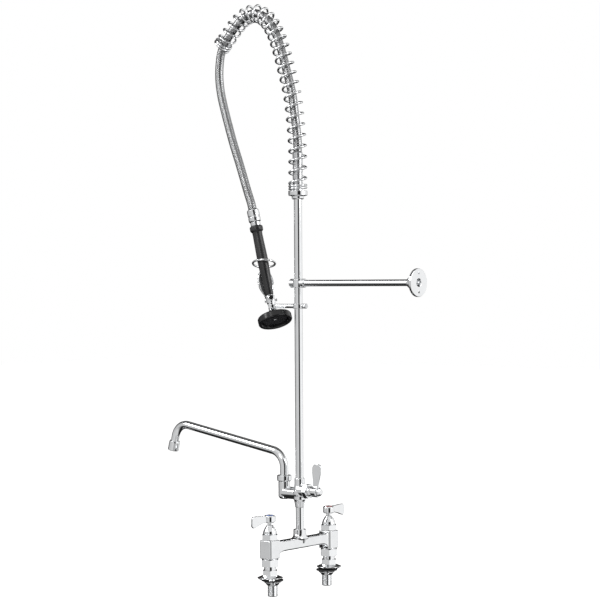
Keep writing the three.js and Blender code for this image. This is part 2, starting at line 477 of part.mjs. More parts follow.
// ---------------------------------------------------------------- spray valve
// Local frame: z up the grip from its lower end, +y towards the spray side, lever on -y.
const spray = new THREE.Group();
spray.position.set(...SPRAY_POINT);
spray.rotation.set(rad(GRIP_TILT), 0, -rad(SPRAY_YAW), "XYZ");
group.add(spray);
{
  const S = (name, shape, material) => add(name, shape, material, spray);
  // Swivel ferrule on the hose.
  S("hose_ferrule", turned([[0, 165.6], [12, 165.6], [13.3, 167], [13.3, 174.5], [12.5, 175.5], [12.5, 177.5], [13.3, 178.5], [13.3, 190.5], [11.8, FERRULE_TOP], [0, FERRULE_TOP]], 28), CHROME);
  S("swivel_ring", ring(7.4, 10.8, 156.4, 165.2, 28), CHROME);
  S("handle_pipe", rod(6.6, -1.6, 165.1, 16, 0.5), STEEL);
  S("grip", turned([[7, 0], [8, 0], [8.6, 1.2], [9.4, 14], [10.4, 38], [11.6, 60], [12, 78], [11.4, 110], [10.8, 136], [11.2, 142],
    [13.6, 144.4], [14.5, 146], [14.5, 153.4], [13.4, 155.6], [7, 155.6]], 28), GRIP);
  // Hold-down ring, hanging nearly level around grip and lever.
  const q = new THREE.Quaternion().setFromEuler(spray.rotation).invert();
  const tilt = new THREE.Quaternion().setFromUnitVectors(V(0, 0, 1), V(-0.298, -0.224, 1).normalize());
  const R = new THREE.Matrix4().makeRotationFromQuaternion(q.multiply(tilt));
  S("hold_down_ring", solid(new THREE.TorusGeometry(24.3, 2.25, 6, 28), mul(at(-2.2, -6.2, 72), R)), CHROME);

  // Valve body: collar, barrel, bonnet boss on the lever side, neck, ball at the bend.
  let b = solid(turned([[0, -34.6], [4, -34.2], [7.2, -32.2], [8.2, -29.5], [8.2, -21], [9.6, -17.5], [9.6, -6], [9.8, -3.6], [9.4, -2], [0, -2]], 28));
  b = b.add(solid(rod(5.8, 0, 14, 20), mul(at(0, 0, -7.4), rotX(90)))); // towards -y
  b = b.add(solid(rod(6.8, 0, 12.4, 20), mul(at(0, 0, -8), rotX(-90)))); // towards +y
  const H = mul(at(0, 0, -31.7), rotX(HEAD_TILT)); // head frame, spray along its -z
  b = b.add(solid(turned([[0, 1], [8.2, 1], [8.2, -3.6], [0, -3.6]], 28), H));
  b = b.subtract(solid(rod(6.9, -2.9, 1, 16)));
  b = b.subtract(solid(rod(3.3, 7.4, 15, 12), mul(at(0, 0, -7.4), rotX(90))));
  b = b.subtract(solid(rod(1.9, -13, 13, 12), mul(at(0, -2, -13), rotY(90))));
  b = b.subtract(solid(rod(4.2, 9.4, 13, 20), mul(at(0, 0, -8), rotX(-90))));
  S("valve_body", b, CHROME);
  S("front_cap", solid(turned([[0, 9.7], [3.9, 9.7], [3.9, 12.8], [6.2, 12.8], [6.2, 14.2], [5, 15.2], [0, 15.2]], 20), mul(at(0, 0, -8), rotX(-90))), CHROME);
  S("plunger", solid(turned([[0, 9.4], [3, 9.4], [3, 17.2], [2.2, 18.2], [0, 18.2]], 14), mul(at(0, 0, -7.4), rotX(90))), STEEL);
  // Squeeze lever: pressed channel, wide paddle, two ears on the pin.
  const half = [[-2, 9], [6, 9.8], [14, 13.4], [24, 16.6], [34, 17.4], [46, 15.8], [54, 13.2]];
  const plan = (inset, top) => {
    const s = new THREE.Shape();
    const pts = half.map(([w, h]) => [h - inset, w]);
    s.moveTo(pts[0][0], pts[0][1]);
    s.splineThru(pts.slice(1).map(([x, w]) => new THREE.Vector2(x, w)));
    s.quadraticCurveTo(10.4 - inset, top, 0, top);
    s.quadraticCurveTo(-10.4 + inset, top, -pts[6][0], pts[6][1]);
    s.splineThru(pts.slice(0, 6).reverse().map(([x, w]) => new THREE.Vector2(-x, w)));
    s.closePath();
    return s;
  };
  // Extruded along y: (x, w) plan turned upright.
  let lv = solid(prism(plan(0, 60.5), 13.4, 20.8, 2), mul(rotX(90)));
  lv = lv.subtract(solid(prism(plan(1.8, 58.7), 10, 18.8, 2).translate(0, 0, 0), rotX(90)));
  const ear = new THREE.Shape(); // (y, w)
  ear.moveTo(-20.8, 8);
  ear.lineTo(-20.8, -8);
  ear.lineTo(-9, -19.6);
  ear.absarc(-2, -13, 7.4, rad(225), rad(405), false);
  ear.lineTo(-13.6, 3);
  ear.lineTo(-13.6, 8);
  ear.closePath();
  for (const sx of [1, -1])
    lv = lv.add(solid(prism(ear, -1, 1, 5), mul(at(sx * 11.2, 0, 0), rotZ(90), rotX(90))));
  lv = lv.add(solid(new THREE.BoxGeometry(24.4, 2, 14), at(0, -19.8, 1)));
  lv = lv.subtract(solid(rod(1.9, -14, 14, 12), mul(at(0, -2, -13), rotY(90))));
  const rest = mul(at(0, -2, -13), rotX(LEVER_REST), at(0, 2, 13));
  S("squeeze_lever", lv.transform(rest.elements), CHROME);
  S("lever_pin", solid(turned([[0, -12.5], [3.2, -12.5], [3.2, -12.4], [1.6, -12.4], [1.6, 12.5], [3, 12.5], [3, 14], [0, 14]], 14), mul(at(0, -2, -13), rotY(-90))), STEEL);

  // Head.
  const head = new THREE.Group();
  head.position.set(0, 0, -31.7);
  head.rotation.set(rad(HEAD_TILT), 0, 0);
  spray.add(head);
  add("head_bell", turned([[0, -3.9], [8.6, -3.9], [10.4, -6], [14, -9.6], [20, -12.6], [26.5, -14.4], [29.6, -16], [30, -17.4], [0, -17.4]], 36), CHROME, head);
  add("bumper", turned([[28.6, -17.8], [36.2, -17.8], [37.4, -20], [37.4, -30.4], [36, -32.6], [31, -32.6], [29.2, -30.8], [28.6, -27]], 40), RUBBER, head);
  add("spray_face", turned([[0, -18], [28.2, -18], [28.2, -25.2], [27, -26], [4.4, -26], [4.4, -23], [0, -23]], 32), FACE, head);
  add("face_screw", turned([[0, -23.4], [4, -23.4], [4, -26.8], [3, -27.8], [0, -27.8]], 16), STEEL, head);
}

export default group;
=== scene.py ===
"""Pre rinse faucet: the looks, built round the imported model.

Lengths in this file are millimetres until they reach a mesh, then metres. +Z up.
Origin: deck plane, midway between the two inlets. +Y towards the wall, -Y towards the user.
"""

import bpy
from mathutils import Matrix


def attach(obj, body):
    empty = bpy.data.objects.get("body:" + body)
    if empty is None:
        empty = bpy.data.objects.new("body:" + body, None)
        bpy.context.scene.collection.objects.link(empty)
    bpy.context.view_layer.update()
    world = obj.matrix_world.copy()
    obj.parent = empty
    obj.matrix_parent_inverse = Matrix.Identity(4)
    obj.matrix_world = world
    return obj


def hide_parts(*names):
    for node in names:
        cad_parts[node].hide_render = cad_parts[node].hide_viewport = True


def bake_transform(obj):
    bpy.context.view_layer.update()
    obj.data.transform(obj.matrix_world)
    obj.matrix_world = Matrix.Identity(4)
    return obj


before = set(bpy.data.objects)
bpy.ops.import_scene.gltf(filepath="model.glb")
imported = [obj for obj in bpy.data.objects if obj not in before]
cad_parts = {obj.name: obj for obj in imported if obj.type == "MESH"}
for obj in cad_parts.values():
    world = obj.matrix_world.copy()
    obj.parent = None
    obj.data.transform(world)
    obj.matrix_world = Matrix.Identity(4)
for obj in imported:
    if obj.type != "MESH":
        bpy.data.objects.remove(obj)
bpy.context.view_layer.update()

import math

import bpy
import numpy as np
from mathutils import Matrix, Vector

rad = math.radians
scene = bpy.context.scene

# ------------------------------------------------------------------ camera
CAM_AZ = 128.7  # degrees: the camera stands at (sin, -cos) of this
CAM_DIST, CAM_Z = 4.2, 0.640
cam_data = bpy.data.cameras.new("camera")
cam = bpy.data.objects.new("camera", cam_data)
scene.collection.objects.link(cam)
cam.location = (CAM_DIST * math.sin(rad(CAM_AZ)), -CAM_DIST * math.cos(rad(CAM_AZ)), CAM_Z)
look = Vector((-cam.location.x, -cam.location.y, 0)).normalized()
cam.rotation_euler = (look.to_track_quat("-Z", "Y").to_matrix().to_4x4()
                      @ Matrix.Rotation(rad(-0.35), 4, "Z")).to_euler()
cam_data.sensor_width = 36
cam_data.lens = 116.67
cam_data.shift_x, cam_data.shift_y = 0.0028, -0.035
cam_data.clip_end = 60
scene.camera = cam
scene.view_settings.view_transform = "Standard"


# ------------------------------------------------------------------ small maths
def T(x, y, z):
    return Matrix.Translation((x, y, z))


def RX(d):
    return Matrix.Rotation(rad(d), 4, "X")


def RY(d):
    return Matrix.Rotation(rad(d), 4, "Y")


def RZ(d):
    return Matrix.Rotation(rad(d), 4, "Z")


def turn_to(v):
    """Rotation that takes +Z to v."""
    return Vector((0, 0, 1)).rotation_difference(Vector(v)).to_matrix().to_4x4()


def soften(pts, radius, closed):
    """Replaces each corner of a 2-D line with a small arc."""
    p = [np.array(q, float) for q in pts]
    n, out = len(p), []
    for i in range(n):
        if not closed and i in (0, n - 1):
            out.append(p[i])
            continue
        a, b, c = p[i - 1], p[i], p[(i + 1) % n]
        u, v = a - b, c - b
        lu, lv = np.linalg.norm(u), np.linalg.norm(v)
        if lu < 1e-6 or lv < 1e-6:
            out.append(b)
            continue
        u, v = u / lu, v / lv
        turn = math.pi - math.acos(max(-1.0, min(1.0, float(u @ v))))
        if turn < rad(7):
            out.append(b)
            continue
        t = min(radius * math.tan(turn / 2), 0.44 * lu, 0.44 * lv)
        r = t / math.tan(turn / 2)
        steps = max(2, math.ceil(math.degrees(turn) / 20))
        mid = u + v
        mid = mid / np.linalg.norm(mid)
        centre = b + mid * (r / math.cos(turn / 2))
        s, e = b + u * t - centre, b + v * t - centre
        for k in range(steps + 1):
            f = k / steps
            w0, w1 = math.sin((1 - f) * turn) / math.sin(turn), math.sin(f * turn) / math.sin(turn)
            if turn > rad(179):
                w0, w1 = 1 - f, f
            out.append(centre + s * w0 + e * w1)
    return out


# ------------------------------------------------------------------ shells: (vertices in mm, faces)
def move(shell, M):
    v, f = shell
    m = np.array(M)
    return v @ m[:3, :3].T + m[:3, 3], f


def facing_out(shell):
    v, faces = shell
    vol = 0.0
    for f in faces:
        a = v[f[0]]
        for i in range(1, len(f) - 1):
            vol += float(np.dot(a, np.cross(v[f[i]], v[f[i + 1]])))
    return (v, faces) if vol > 0 else (v, [tuple(reversed(f)) for f in faces])


def rings(rows, closed=False, cap0=True, cap1=True):
    """Joins rows of equal length, each a closed loop of points, into a skin."""
    n, faces = len(rows[0]), []
    v = np.concatenate([np.array(r, float) for r in rows])
    k = len(rows)
    for i in range(k if closed else k - 1):
        a, b = i * n, ((i + 1) % k) * n
        for j in range(n):
            q = (j + 1) % n
            faces.append((a + j, a + q, b + q, b + j))
    if not closed:
        if cap0:
            faces.append(tuple(reversed(range(n))))
        if cap1:
            faces.append(tuple(range((k - 1) * n, k * n)))
    return facing_out((v, faces))


def lathe(profile, seg=96, fil=0.35, M=None, radius=None):
    """Body of revolution from [r, z] pairs: on the axis at both ends, or a closed ring. radius(r, z, angle) may shape it."""
    solid = abs(profile[0][0]) < 1e-9
    pts = soften(profile, fil, not solid)
    ang = [2 * math.pi * i / seg for i in range(seg)]
    if solid:
        body = [p for p in pts[1:-1]]
    else:
        body = pts
    rows = []
    for r, z in body:
        rows.append([((radius(r, z, a) if radius else r) * math.cos(a), (radius(r, z, a) if radius else r) * math.sin(a), z) for a in ang])
    shell = rings(rows, closed=not solid)
    return move(shell, M) if M is not None else shell


def rod(r, z0, z1, seg=96, fil=0.35, M=None):
    return lathe([[0, z0], [r, z0], [r, z1], [0, z1]], seg, fil, M)


def hexagon(across, corner=0.35, side=9, arc=3):
    """Angles and radii of a hexagon with slightly rounded corners."""
    a = across / 2
    dc = (a - corner) / math.cos(math.pi / 6)
    tmax = math.degrees(math.atan(((a - corner) * math.tan(math.pi / 6)) / a))
    out = []
    for k in range(6):
        mid = 60 * k
        for i in range(side):
            phi = -tmax + 2 * tmax * i / (side - 1)
            out.append((rad(mid + phi), a / math.cos(rad(phi))))
        for i in range(1, arc + 1):
            phi = tmax + (30 - tmax) * 2 * i / (arc + 1)
            d = rad(30 - phi)
            out.append((rad(mid + phi), dc * math.cos(d) + math.sqrt(max(0, corner**2 - (dc * math.sin(d)) ** 2))))
    return out


def hexnut(across, z0, z1, bore=None, slope=0.55, M=None, turn=0.0, bore_top=None, back=0.35, top=True, bottom=True):
    """Hexagon nut with its corners turned off at each end, leaving the curved bites on the flats."""
    h = hexagon(across)
    k = across / 2 - back
    rows = []

    def ring(fn):
        rows.append([(fn(r) [0] * math.cos(a + turn), fn(r)[0] * math.sin(a + turn), fn(r)[1]) for a, r in h])

    if bottom:
        ring(lambda r: (k, z0))
        ring(lambda r: (k + 0.12, z0 + 0.05))
        ring(lambda r: (r, z0 + (r - k) * slope))
        ring(lambda r: (r, z0 + (r - k) * slope + 0.12))
    else:
        ring(lambda r: (r, z0))
    if top:
        ring(lambda r: (r, z1 - (r - k) * slope - 0.12))
        ring(lambda r: (r, z1 - (r - k) * slope))
        ring(lambda r: (k + 0.12, z1 - 0.05))
        ring(lambda r: (k, z1))
    else:
        ring(lambda r: (r, z1))
    if bore:
        ring(lambda r: (bore, z1))
        ring(lambda r: (bore, z0))
        shell = rings(rows, closed=True)
    else:
        shell = rings(rows)
    return move(shell, M) if M is not None else shell


def slab(outline, z0, z1, f0=0.5, f1=0.5, M=None, steps=4):
    """Plate with this outline, its edges rounded by f0 at z0 and f1 at z1."""
    p = np.array(outline, float)
    area = 0.5 * float(np.sum(p[:, 0] * np.roll(p[:, 1], -1) - np.roll(p[:, 0], -1) * p[:, 1]))
    if area < 0:
        p = p[::-1]
    e = np.roll(p, -1, 0) - p
    e = e / np.maximum(np.linalg.norm(e, axis=1), 1e-9)[:, None]
    nrm = np.stack([e[:, 1], -e[:, 0]], 1)
    vn = nrm + np.roll(nrm, 1, 0)
    vn = vn / np.maximum(np.linalg.norm(vn, axis=1), 1e-9)[:, None]
    rows = []

    def ring(inset, z):
        q = p - vn * inset
        rows.append([(x, y, z) for x, y in q])

    for i in range(steps + 1):
        a = rad(90 * i / steps)
        if f0 > 0:
            ring(f0 * (1 - math.sin(a)), z0 + f0 * (1 - math.cos(a)))
    if f0 <= 0:
        ring(0, z0)
    for i in range(steps + 1):
        a = rad(90 * i / steps)
        if f1 > 0:
            ring(f1 * (1 - math.cos(a)), z1 - f1 * (1 - math.sin(a)))
    if f1 <= 0:
        ring(0, z1)
    shell = rings(rows)
    return move(shell, M) if M is not None else shell


def rounded_rect(w, h, r, n=8):
    out = []
    for cx, cy, a0 in ((w / 2 - r, -h / 2 + r, -90), (w / 2 - r, h / 2 - r, 0), (-w / 2 + r, h / 2 - r, 90), (-w / 2 + r, -h / 2 + r, 180)):
        for i in range(n + 1):
            a = rad(a0 + 90 * i / n)
            out.append((cx + r * math.cos(a), cy + r * math.sin(a)))
    return out


def bezier2(p, c, q, n=10):
    return [((1 - t) ** 2 * p[0] + 2 * t * (1 - t) * c[0] + t * t * q[0], (1 - t) ** 2 * p[1] + 2 * t * (1 - t) * c[1] + t * t * q[1])
            for t in (i / n for i in range(1, n + 1))]


def outline(start, *steps):
    """Outline from (x, y) lines and ((cx, cy), (x, y)) curves."""
    out = [start]
    for s in steps:
        if isinstance(s[0], (tuple, list)):
            out += bezier2(out[-1], s[0], s[1])
        else:
            out.append(s)
    clean = [out[0]]
    for q in out[1:]:
        if math.hypot(q[0] - clean[-1][0], q[1] - clean[-1][1]) > 0.02:
            clean.append(q)
    return clean


def frames(pts):
    """Tangent, and two axes that don't twist, at each point of a line."""
    p = np.array(pts, float)
    t = np.gradient(p, axis=0)
    t = t / np.linalg.norm(t, axis=1)[:, None]
    ref = np.array([1.0, 0, 0])
    out = []
    u = ref - t[0] * (ref @ t[0])
    u = u / np.linalg.norm(u)
    for i in range(len(p)):
        u = u - t[i] * (u @ t[i])
        u = u / np.linalg.norm(u)
        out.append((p[i], t[i], u, np.cross(t[i], u)))
    return out


def tube(pts, r, sides=48, bore=None, bore_depth=0, fil=0.0):
    """Round bar along a line. bore opens its far end, that deep."""
    fr = frames(pts)
    rows = []

    def ring(f, radius, along=0.0):
        c, t, u, w = f
        rows.append([c + t * along + u * radius * math.cos(a) + w * radius * math.sin(a)
                     for a in (2 * math.pi * i / sides for i in range(sides))])

    if fil:
        ring(fr[0], r - fil)
        ring(fr[0], r - 0.3 * fil, 0.3 * fil)
        fr[0] = (fr[0][0] + fr[0][1] * fil, *fr[0][1:])
    for f in fr:
        ring(f, r)
    if bore:
        ring(fr[-1], bore)
        ring(fr[-1], bore, -bore_depth)
    elif fil:
        rows.pop()
        ring(fr[-1], r, -fil)
        ring(fr[-1], r - 0.3 * fil, -0.3 * fil)
        ring(fr[-1], r - fil)
    return rings(rows)


def catmull(points, n):
    """Centripetal spline through the points: n even steps along it, and its length."""
    p = [np.array(q, float) for q in points]
    raw = []
    for i in range(len(p) - 1):
        p1, p2 = p[i], p[i + 1]
        p0 = p[i - 1] if i else 2 * p1 - p2
        p3 = p[i + 2] if i + 2 < len(p) else 2 * p2 - p1
        d0, d1, d2 = (max(float((b - a) @ (b - a)), 1e-12) ** 0.25 for a, b in ((p0, p1), (p1, p2), (p2, p3)))
        m1 = ((p1 - p0) / d0 - (p2 - p0) / (d0 + d1) + (p2 - p1) / d1) * d1
        m2 = ((p2 - p1) / d1 - (p3 - p1) / (d1 + d2) + (p3 - p2) / d2) * d1
        for k in range(40):
            t = k / 40
            raw.append(p1 + m1 * t + (-3 * p1 + 3 * p2 - 2 * m1 - m2) * t * t + (2 * p1 - 2 * p2 + m1 + m2) * t**3)
    raw.append(p[-1])
    raw = np.array(raw)
    s = np.concatenate([[0], np.cumsum(np.linalg.norm(np.diff(raw, axis=0), axis=1))])
    want = np.linspace(0, s[-1], n + 1)
    return np.stack([np.interp(want, s, raw[:, k]) for k in range(raw.shape[1])], 1), float(s[-1])


def _temp(shell):
    me = bpy.data.meshes.new("tmp")
    me.from_pydata([tuple(x) for x in shell[0]], [], shell[1])
    me.validate()
    o = bpy.data.objects.new("tmp", me)
    scene.collection.objects.link(o)
    return o


def combine(kind, base, *tools):
    """UNION or DIFFERENCE of shells; if the result has an open edge, a union falls back to shells that pass through each other."""
    o = _temp(base)
    others = [_temp(t) for t in tools]
    for t in others:
        m = o.modifiers.new("b", "BOOLEAN")
        m.operation, m.solver, m.object = kind, "EXACT", t
    dg = bpy.context.evaluated_depsgraph_get()
    me = bpy.data.meshes.new_from_object(o.evaluated_get(dg))
    v = np.array([x.co for x in me.vertices], float).reshape(-1, 3)
    f = [tuple(q.vertices) for q in me.polygons]
    edges = {}
    for q in f:
        for i in range(len(q)):
            e = tuple(sorted((q[i], q[(i + 1) % len(q)])))
            edges[e] = edges.get(e, 0) + 1
    bad = sum(1 for c in edges.values() if c != 2)
    for x in [o, *others]:
        bpy.data.objects.remove(x)
    bpy.data.meshes.remove(me)
    if not f or bad:
        print("BOOLEAN", kind, "open edges", bad, "faces", len(f))
        if kind == "UNION" and (not f or bad > 60):
            return join(base, *tools)
        if not f:
            return base
    return v, f


def fuse(*shells):
    return combine("UNION", *shells)


def carve(base, *tools):
    return combine("DIFFERENCE", base, *tools)


def join(*shells):
    v, f, n = [], [], 0
    for a, b in shells:
        v.append(a)
        f += [tuple(i + n for i in q) for q in b]
        n += len(a)
    return np.concatenate(v), f


# ------------------------------------------------------------------ materials
def principled(name, color, metallic, **sockets):
    m = bpy.data.materials.new(name)
    m.use_nodes = True
    nt = m.node_tree
    b = nt.nodes["Principled BSDF"]
    b.inputs["Base Color"].default_value = (*color, 1)
    b.inputs["Metallic"].default_value = metallic
    for k, v in sockets.items():
        b.inputs[k.replace("_", " ")].default_value = v
    return m, nt, b


def node(nt, kind, **values):
    n = nt.nodes.new(kind)
    for k, v in values.items():
        if k.startswith("in_"):
            key = k[3:]
            n.inputs[int(key) if key.isdigit() else key].default_value = v
        else:
            setattr(n, k, v)
    return n


def noise(nt, scale, detail=2.0, rough=0.5, stretch=(1, 1, 1)):
    """Noise on the piece's own coordinates; scale is per metre."""
    tc = node(nt, "ShaderNodeTexCoord")
    mp = node(nt, "ShaderNodeMapping")
    mp.inputs["Scale"].default_value = stretch
    nt.links.new(tc.outputs["Object"], mp.inputs["Vector"])
    n = node(nt, "ShaderNodeTexNoise", in_Scale=scale, in_Detail=detail, in_Roughness=rough)
    nt.links.new(mp.outputs["Vector"], n.inputs["Vector"])
    return n


def ramp(nt, src, stops):
    r = node(nt, "ShaderNodeValToRGB")
    e = r.color_ramp.elements
    while len(e) < len(stops):
        e.new(0.5)
    for el, (pos, val) in zip(e, stops):
        el.position = pos
        el.color = (*val, 1) if isinstance(val, (tuple, list)) else (val, val, val, 1)
    nt.links.new(src, r.inputs["Fac"])
    return r


def bump(nt, b, src, strength, distance):
    n = node(nt, "ShaderNodeBump", in_Strength=strength, in_Distance=distance)
    nt.links.new(src, n.inputs["Height"])
    nt.links.new(n.outputs["Normal"], b.inputs["Normal"])
    return n


def rough_from(nt, b, src, lo, hi, a=0.3, c=0.7):
    r = node(nt, "ShaderNodeMapRange", in_1=a, in_2=c, in_3=lo, in_4=hi)
    nt.links.new(src, r.inputs[0])
    nt.links.new(r.outputs[0], b.inputs["Roughness"])


def make_chrome(name, color, lo, hi, wave_scale, wave_mm, smear=0.5):
    m, nt, b = principled(name, color, 1.0)
    # Faint dried-water marks and wiping smears in the plating change its roughness and tint.
    spots = noise(nt, 55, 5, 0.62)
    smears = noise(nt, 16, 3, 0.55, (1, 1, 4))
    mix = node(nt, "ShaderNodeMath", operation="MULTIPLY_ADD", in_1=smear)
    nt.links.new(smears.outputs["Fac"], mix.inputs[0])
    half = node(nt, "ShaderNodeMath", operation="MULTIPLY", in_1=1 - smear)
    nt.links.new(spots.outputs["Fac"], half.inputs[0])
    nt.links.new(half.outputs[0], mix.inputs[2])
    rough_from(nt, b, mix.outputs[0], lo, hi, 0.36, 0.66)
    tint = ramp(nt, spots.outputs["Fac"], [(0.32, tuple(c * 0.965 for c in color)), (0.6, color)])
    nt.links.new(tint.outputs["Color"], b.inputs["Base Color"])
    wave = noise(nt, wave_scale, 2, 0.4)
    bump(nt, b, wave.outputs["Fac"], 0.35, wave_mm / 1000)
    return m


def make_steel():
    color = (0.60, 0.61, 0.62)
    m, nt, b = principled("steel", color, 1.0)
    lines = noise(nt, 900, 3, 0.6, (1, 1, 0.06))
    rough_from(nt, b, lines.outputs["Fac"], 0.16, 0.34)
    tint = ramp(nt, lines.outputs["Fac"], [(0.3, (0.52, 0.53, 0.545)), (0.7, (0.68, 0.685, 0.69))])
    nt.links.new(tint.outputs["Color"], b.inputs["Base Color"])
    bump(nt, b, lines.outputs["Fac"], 0.25, 0.00002)
    return m


def make_rubber(name, dark, light, lo, hi, grain, grain_mm, **sockets):
    m, nt, b = principled(name, light, 0.0, **sockets)
    n = noise(nt, grain, 3, 0.65)
    big = noise(nt, 40, 4, 0.6)
    rough_from(nt, b, big.outputs["Fac"], lo, hi)
    tint = ramp(nt, big.outputs["Fac"], [(0.3, dark), (0.72, light)])
    nt.links.new(tint.outputs["Color"], b.inputs["Base Color"])
    bump(nt, b, n.outputs["Fac"], 0.4, grain_mm / 1000)
    return m


def make_enamel(name, dark, light):
    m, nt, b = principled(name, light, 0.0, Coat_Weight=0.5, Coat_Roughness=0.05)
    n = noise(nt, 300, 3, 0.5)
    rough_from(nt, b, n.outputs["Fac"], 0.22, 0.34)
    tint = ramp(nt, n.outputs["Fac"], [(0.3, dark), (0.7, light)])
    nt.links.new(tint.outputs["Color"], b.inputs["Base Color"])
    return m


CARRIERS = 12  # strands each way round the braid
BRAID_PITCH = 4.9  # mm along the hose from one strand to the next of the same hand


def make_braid():
    """Each strand is five fine wires; the base colour darkens between the wires and at each strand's edges, where one
    strand dips under another: painted shade. Read from the braid's own UVs.
    """
    m, nt, b = principled("braid", (0.6, 0.6, 0.61), 1.0)
    L = nt.links
    uv = node(nt, "ShaderNodeUVMap", uv_map="braid")
    sp = node(nt, "ShaderNodeSeparateXYZ")
    L.new(uv.outputs["UV"], sp.inputs[0])
    # U holds the strand number of one hand, V that of the other, both over 200.
    def math_(op, a, c=None, **k):
        n = node(nt, "ShaderNodeMath", operation=op)
        for i, x in enumerate((a, c)):
            if x is None:
                continue
            if isinstance(x, (int, float)):
                n.inputs[i].default_value = x
            else:
                L.new(x, n.inputs[i])
        return n.outputs[0]
    p, q = math_("MULTIPLY", sp.outputs["X"], 200.0), math_("MULTIPLY", sp.outputs["Y"], 200.0)
    fp, fq = math_("FRACT", p), math_("FRACT", q)
    par = math_("FLOORED_MODULO", math_("ADD", math_("FLOOR", p), math_("FLOOR", q)), 2.0)
    across = node(nt, "ShaderNodeMix", data_type="FLOAT")
    L.new(par, across.inputs["Factor"])
    L.new(fq, across.inputs["A"])
    L.new(fp, across.inputs["B"])
    t = across.outputs["Result"]
    wires = math_("ABSOLUTE", math_("SINE", math_("MULTIPLY", t, math.pi * 5)))
    edge = math_("SUBTRACT", 1.0, math_("POWER", math_("ABSOLUTE", math_("SUBTRACT", math_("MULTIPLY", t, 2.0), 1.0)), 6.0))
    h = math_("MULTIPLY", wires, edge)
    # Painted shade: the colour falls to near black in the grooves between the fine wires and at the edges of each
    # strand.
    tint = ramp(nt, h, [(0.0, (0.035, 0.035, 0.038)), (0.45, (0.25, 0.253, 0.257)), (1.0, (0.58, 0.585, 0.59))])
    L.new(tint.outputs["Color"], b.inputs["Base Color"])
    wear = noise(nt, 70, 3, 0.6)
    rough_from(nt, b, wear.outputs["Fac"], 0.13, 0.24)
    bump(nt, b, h, 0.5, 0.00008)
    return m


MATS = {
    "chrome": make_chrome("chrome", (0.86, 0.87, 0.88), 0.025, 0.085, 26, 0.05),
    "cast_chrome": make_chrome("cast_chrome", (0.84, 0.85, 0.86), 0.05, 0.13, 60, 0.09, 0.35),
    "steel": make_steel(),
    "braid": make_braid(),
    "seal": make_rubber("seal", (0.006, 0.006, 0.007), (0.014, 0.014, 0.015), 0.55, 0.75, 1500, 0.03),
    "grip": make_rubber("grip", (0.0055, 0.0055, 0.006), (0.011, 0.011, 0.012), 0.30, 0.42, 1900, 0.03, Coat_Weight=0.12, Coat_Roughness=0.3),
    "bumper": make_rubber("bumper", (0.003, 0.003, 0.0035), (0.008, 0.008, 0.009), 0.16, 0.26, 1300, 0.02),
    "face": make_rubber("face", (0.009, 0.009, 0.010), (0.017, 0.017, 0.019), 0.3, 0.42, 1700, 0.02, Coat_Weight=0.2, Coat_Roughness=0.2),
    "index_blue": make_enamel("index_blue", (0.020, 0.105, 0.42), (0.028, 0.14, 0.52)),
    "index_red": make_enamel("index_red", (0.42, 0.018, 0.018), (0.52, 0.028, 0.026)),
}


def make(nodes, shell, body, slot, sharp=33, uv=None, name=None, weighted=True):
    """One finished piece in place of these CAD nodes."""
    nodes = [nodes] if isinstance(nodes, str) else list(nodes)
    v, f = shell
    me = bpy.data.meshes.new("v_" + (name or nodes[0]))
    me.from_pydata([(x / 1000, y / 1000, z / 1000) for x, y, z in v.tolist()], [], f)
    if uv is not None:
        layer = me.uv_layers.new(name="braid")
        layer.data.foreach_set("uv", np.array(uv, np.float32).reshape(-1))
    me.validate()
    me.shade_smooth()
    if sharp:
        me.set_sharp_from_angle(angle=rad(sharp))
    me.materials.append(MATS[slot])
    o = bpy.data.objects.new("v_" + (name or nodes[0]), me)
    scene.collection.objects.link(o)
    if weighted:
        w = o.modifiers.new("normals", "WEIGHTED_NORMAL")
        w.keep_sharp, w.weight, w.mode = True, 50, "FACE_AREA"
    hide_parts(*nodes)
    if body:
        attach(o, body)
    return o


# ------------------------------------------------------------------ the hose, in two stretches of one braid
HOSE_R = 9.3
UP = [(0.00, 915.40), (0.23, 931.19), (-0.75, 946.95), (-2.63, 962.62), (-4.79, 978.27), (-6.92, 993.92), (-8.93, 1009.58),
      (-11.21, 1025.21), (-14.16, 1040.72), (-17.98, 1056.04), (-22.37, 1071.21), (-27.01, 1086.30), (-31.63, 1101.41),
      (-36.24, 1116.51), (-41.17, 1131.51), (-46.58, 1146.35), (-52.28, 1161.08), (-59.06, 1175.33), (-67.17, 1188.88),
      (-76.52, 1201.59), (-88.16, 1212.21), (-101.83, 1220.06), (-116.99, 1224.23), (-132.67, 1222.87), (-147.62, 1217.87),
      (-161.05, 1209.62), (-173.39, 1199.77), (-184.92, 1188.98), (-195.47, 1177.24), (-205.11, 1164.73), (-213.38, 1151.29)]
DOWN = [(-217.83, 1138.52), (-220.13, 1126.29), (-221.64, 1113.93), (-222.34, 1101.50), (-222.23, 1089.05), (-221.25, 1076.63),
        (-219.49, 1064.31), (-217.11, 1052.08), (-214.20, 1039.98), (-210.77, 1028.01), (-207.14, 1016.09), (-203.44, 1004.20),
        (-199.59, 992.36), (-195.68, 980.54), (-191.76, 968.71), (-187.81, 956.91), (-183.74, 945.14), (-179.46, 933.44),
        (-174.96, 921.83), (-170.39, 910.25), (-165.92, 898.62), (-161.56, 886.96), (-157.24, 875.28), (-152.94, 863.59),
        (-148.72, 851.87), (-144.48, 840.16), (-140.09, 828.55), (-135.57, 817.15), (-131.20, 805.48), (-127.79, 793.36)]


